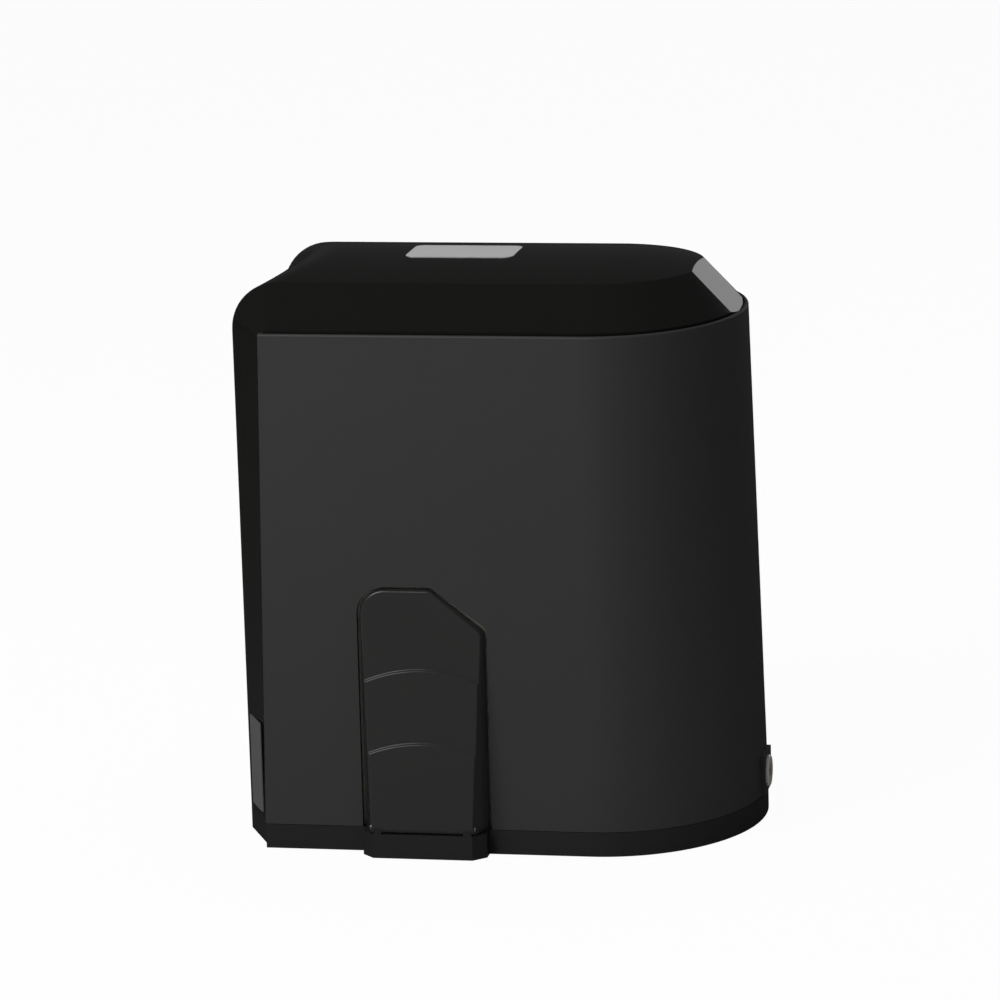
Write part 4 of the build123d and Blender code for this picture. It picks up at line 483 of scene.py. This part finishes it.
# Camera at the eye of a close product picture: a long lens, a little above and to the right.
eye_turn, eye_dip, eye_roll = radians(11.24), radians(12.6), radians(-1.59)
eye_point, eye_lens, eye_reach = (0.5586, -2.8624, 0.8332), 189.32, 60.0
ahead = np.array([-sin(eye_turn) * cos(eye_dip), cos(eye_turn) * cos(eye_dip), -sin(eye_dip)])
level_right = np.array([cos(eye_turn), sin(eye_turn), 0.0])
level_up = np.cross(level_right, ahead)


def set_axes(holder, right, up, back, place):
    """Stand an object at a place with these three directions as its own axes."""
    turned = np.eye(4)
    turned[:3] = np.stack([right, up, back, place], 1)
    holder.matrix_world = Matrix(turned.tolist())
    bpy.context.scene.collection.objects.link(holder)


lens = bpy.data.cameras.new("product_camera")
lens.sensor_width = 36.0
lens.lens = eye_lens
lens.clip_end = eye_reach
eye = bpy.data.objects.new("product_camera", lens)
set_axes(eye, level_right * cos(eye_roll) + level_up * sin(eye_roll),
         level_up * cos(eye_roll) - level_right * sin(eye_roll), -ahead, eye_point)
bpy.context.scene.camera = eye

# Studio: a pale floor that reaches past the view and keeps a faint shadow, in an even dim room.
# Polished faces mirror the floor and the room darkly, as in a picture that was lit from the left.
floor_reach, floor_tone, floor_mirrored, floor_glow_share, mirrored_share = 12, 0.8, -0.77, 0.96, 0.01
floor_corners = [(-floor_reach, -floor_reach, 0), (floor_reach, -floor_reach, 0),
                 (floor_reach, floor_reach, 0), (-floor_reach, floor_reach, 0)]
floor_mesh = bpy.data.meshes.new("studio_floor")
floor_mesh.from_pydata(floor_corners, [], [(0, 1, 2, 3)])
floor = bpy.data.objects.new("studio_floor", floor_mesh)
bpy.context.scene.collection.objects.link(floor)
floor_white = bpy.data.materials.new("floor_white")
floor_white.use_nodes = True
floor_tree = floor_white.node_tree
floor_tree.nodes.clear()
floor_end = floor_tree.nodes.new("ShaderNodeOutputMaterial")
floor_paint = floor_tree.nodes.new("ShaderNodeBsdfDiffuse")
floor_glow = floor_tree.nodes.new("ShaderNodeEmission")
floor_mix = floor_tree.nodes.new("ShaderNodeMixShader")
floor_path = floor_tree.nodes.new("ShaderNodeLightPath")
floor_seen = reckon(floor_tree, "MAXIMUM", floor_path.outputs["Is Camera Ray"],
                    reckon(floor_tree, "MULTIPLY", floor_path.outputs["Is Glossy Ray"], mirrored_share))
floor_seen = reckon(floor_tree, "MAXIMUM", floor_seen, floor_path.outputs["Is Transmission Ray"])
floor_grey = reckon(floor_tree, "MULTIPLY_ADD", floor_path.outputs["Is Glossy Ray"],
                    floor_mirrored, floor_tone)
fill(floor_glow, {"Color": (1.0, 1.0, 1.0, 1.0)})
floor_tree.links.new(floor_grey, floor_paint.inputs["Color"])
floor_tree.links.new(reckon(floor_tree, "MULTIPLY", floor_seen, floor_glow_share), floor_mix.inputs["Fac"])
floor_tree.links.new(floor_paint.outputs[0], floor_mix.inputs[1])
floor_tree.links.new(floor_glow.outputs[0], floor_mix.inputs[2])
floor_tree.links.new(floor_mix.outputs[0], floor_end.inputs["Surface"])
floor_mesh.materials.append(floor_white)

room_grey, room_mirrored = (0.26, 0.26, 0.26, 1.0), -0.86
room = bpy.data.worlds.new("studio_room")
room.use_nodes = True
room_tree = room.node_tree
room_seen, room_light = room_tree.nodes["Background"], room_tree.nodes.new("ShaderNodeBackground")
room_mix = room_tree.nodes.new("ShaderNodeMixShader")
room_path = room_tree.nodes.new("ShaderNodeLightPath")
fill(room_seen, {"Color": (1.0, 1.0, 1.0, 1.0)})
fill(room_light, {"Color": room_grey})
room_dim = reckon(room_tree, "MULTIPLY_ADD", room_path.outputs["Is Glossy Ray"], room_mirrored, 1.0)
room_tree.links.new(room_dim, room_light.inputs["Strength"])
room_tree.links.new(room_path.outputs["Is Camera Ray"], room_mix.inputs["Fac"])
room_tree.links.new(room_light.outputs[0], room_mix.inputs[1])
room_tree.links.new(room_seen.outputs[0], room_mix.inputs[2])
room_tree.links.new(room_mix.outputs[0], room_tree.nodes["World Output"].inputs["Surface"])
bpy.context.scene.world = room


def soft_lamp(name, place, aim, wide, power, mirrored=True):
    """Square area lamp at a place, turned so that its face looks at the aim."""
    lamp = bpy.data.lights.new(name, "AREA")
    lamp.shape = "SQUARE"
    lamp.size = wide
    lamp.energy = power
    holder = bpy.data.objects.new(name, lamp)
    back = np.array(place) - np.array(aim)
    back /= np.linalg.norm(back)
    side = np.cross((0.0, 0.0, 1.0), back)
    side /= np.linalg.norm(side)
    set_axes(holder, side, np.cross(back, side), back, place)
    holder.visible_glossy = mirrored


part_middle, roof_end = (0.0, 0.0, 0.16), (0.12, 0.0, 0.3)
soft_lamp("key_lamp", (-1.1, -1.5, 1.5), part_middle, 1.2, 34.0)
soft_lamp("fill_lamp", (1.7, -1.2, 1.0), part_middle, 1.4, 1.0)
soft_lamp("top_lamp", (0.1, 0.3, 2.0), part_middle, 1.6, 12.0, mirrored=False)
soft_lamp("rim_lamp", (0.62, 1.9, 0.62), roof_end, 0.8, 1.5)

bpy.context.scene.view_settings.view_transform = "Standard"
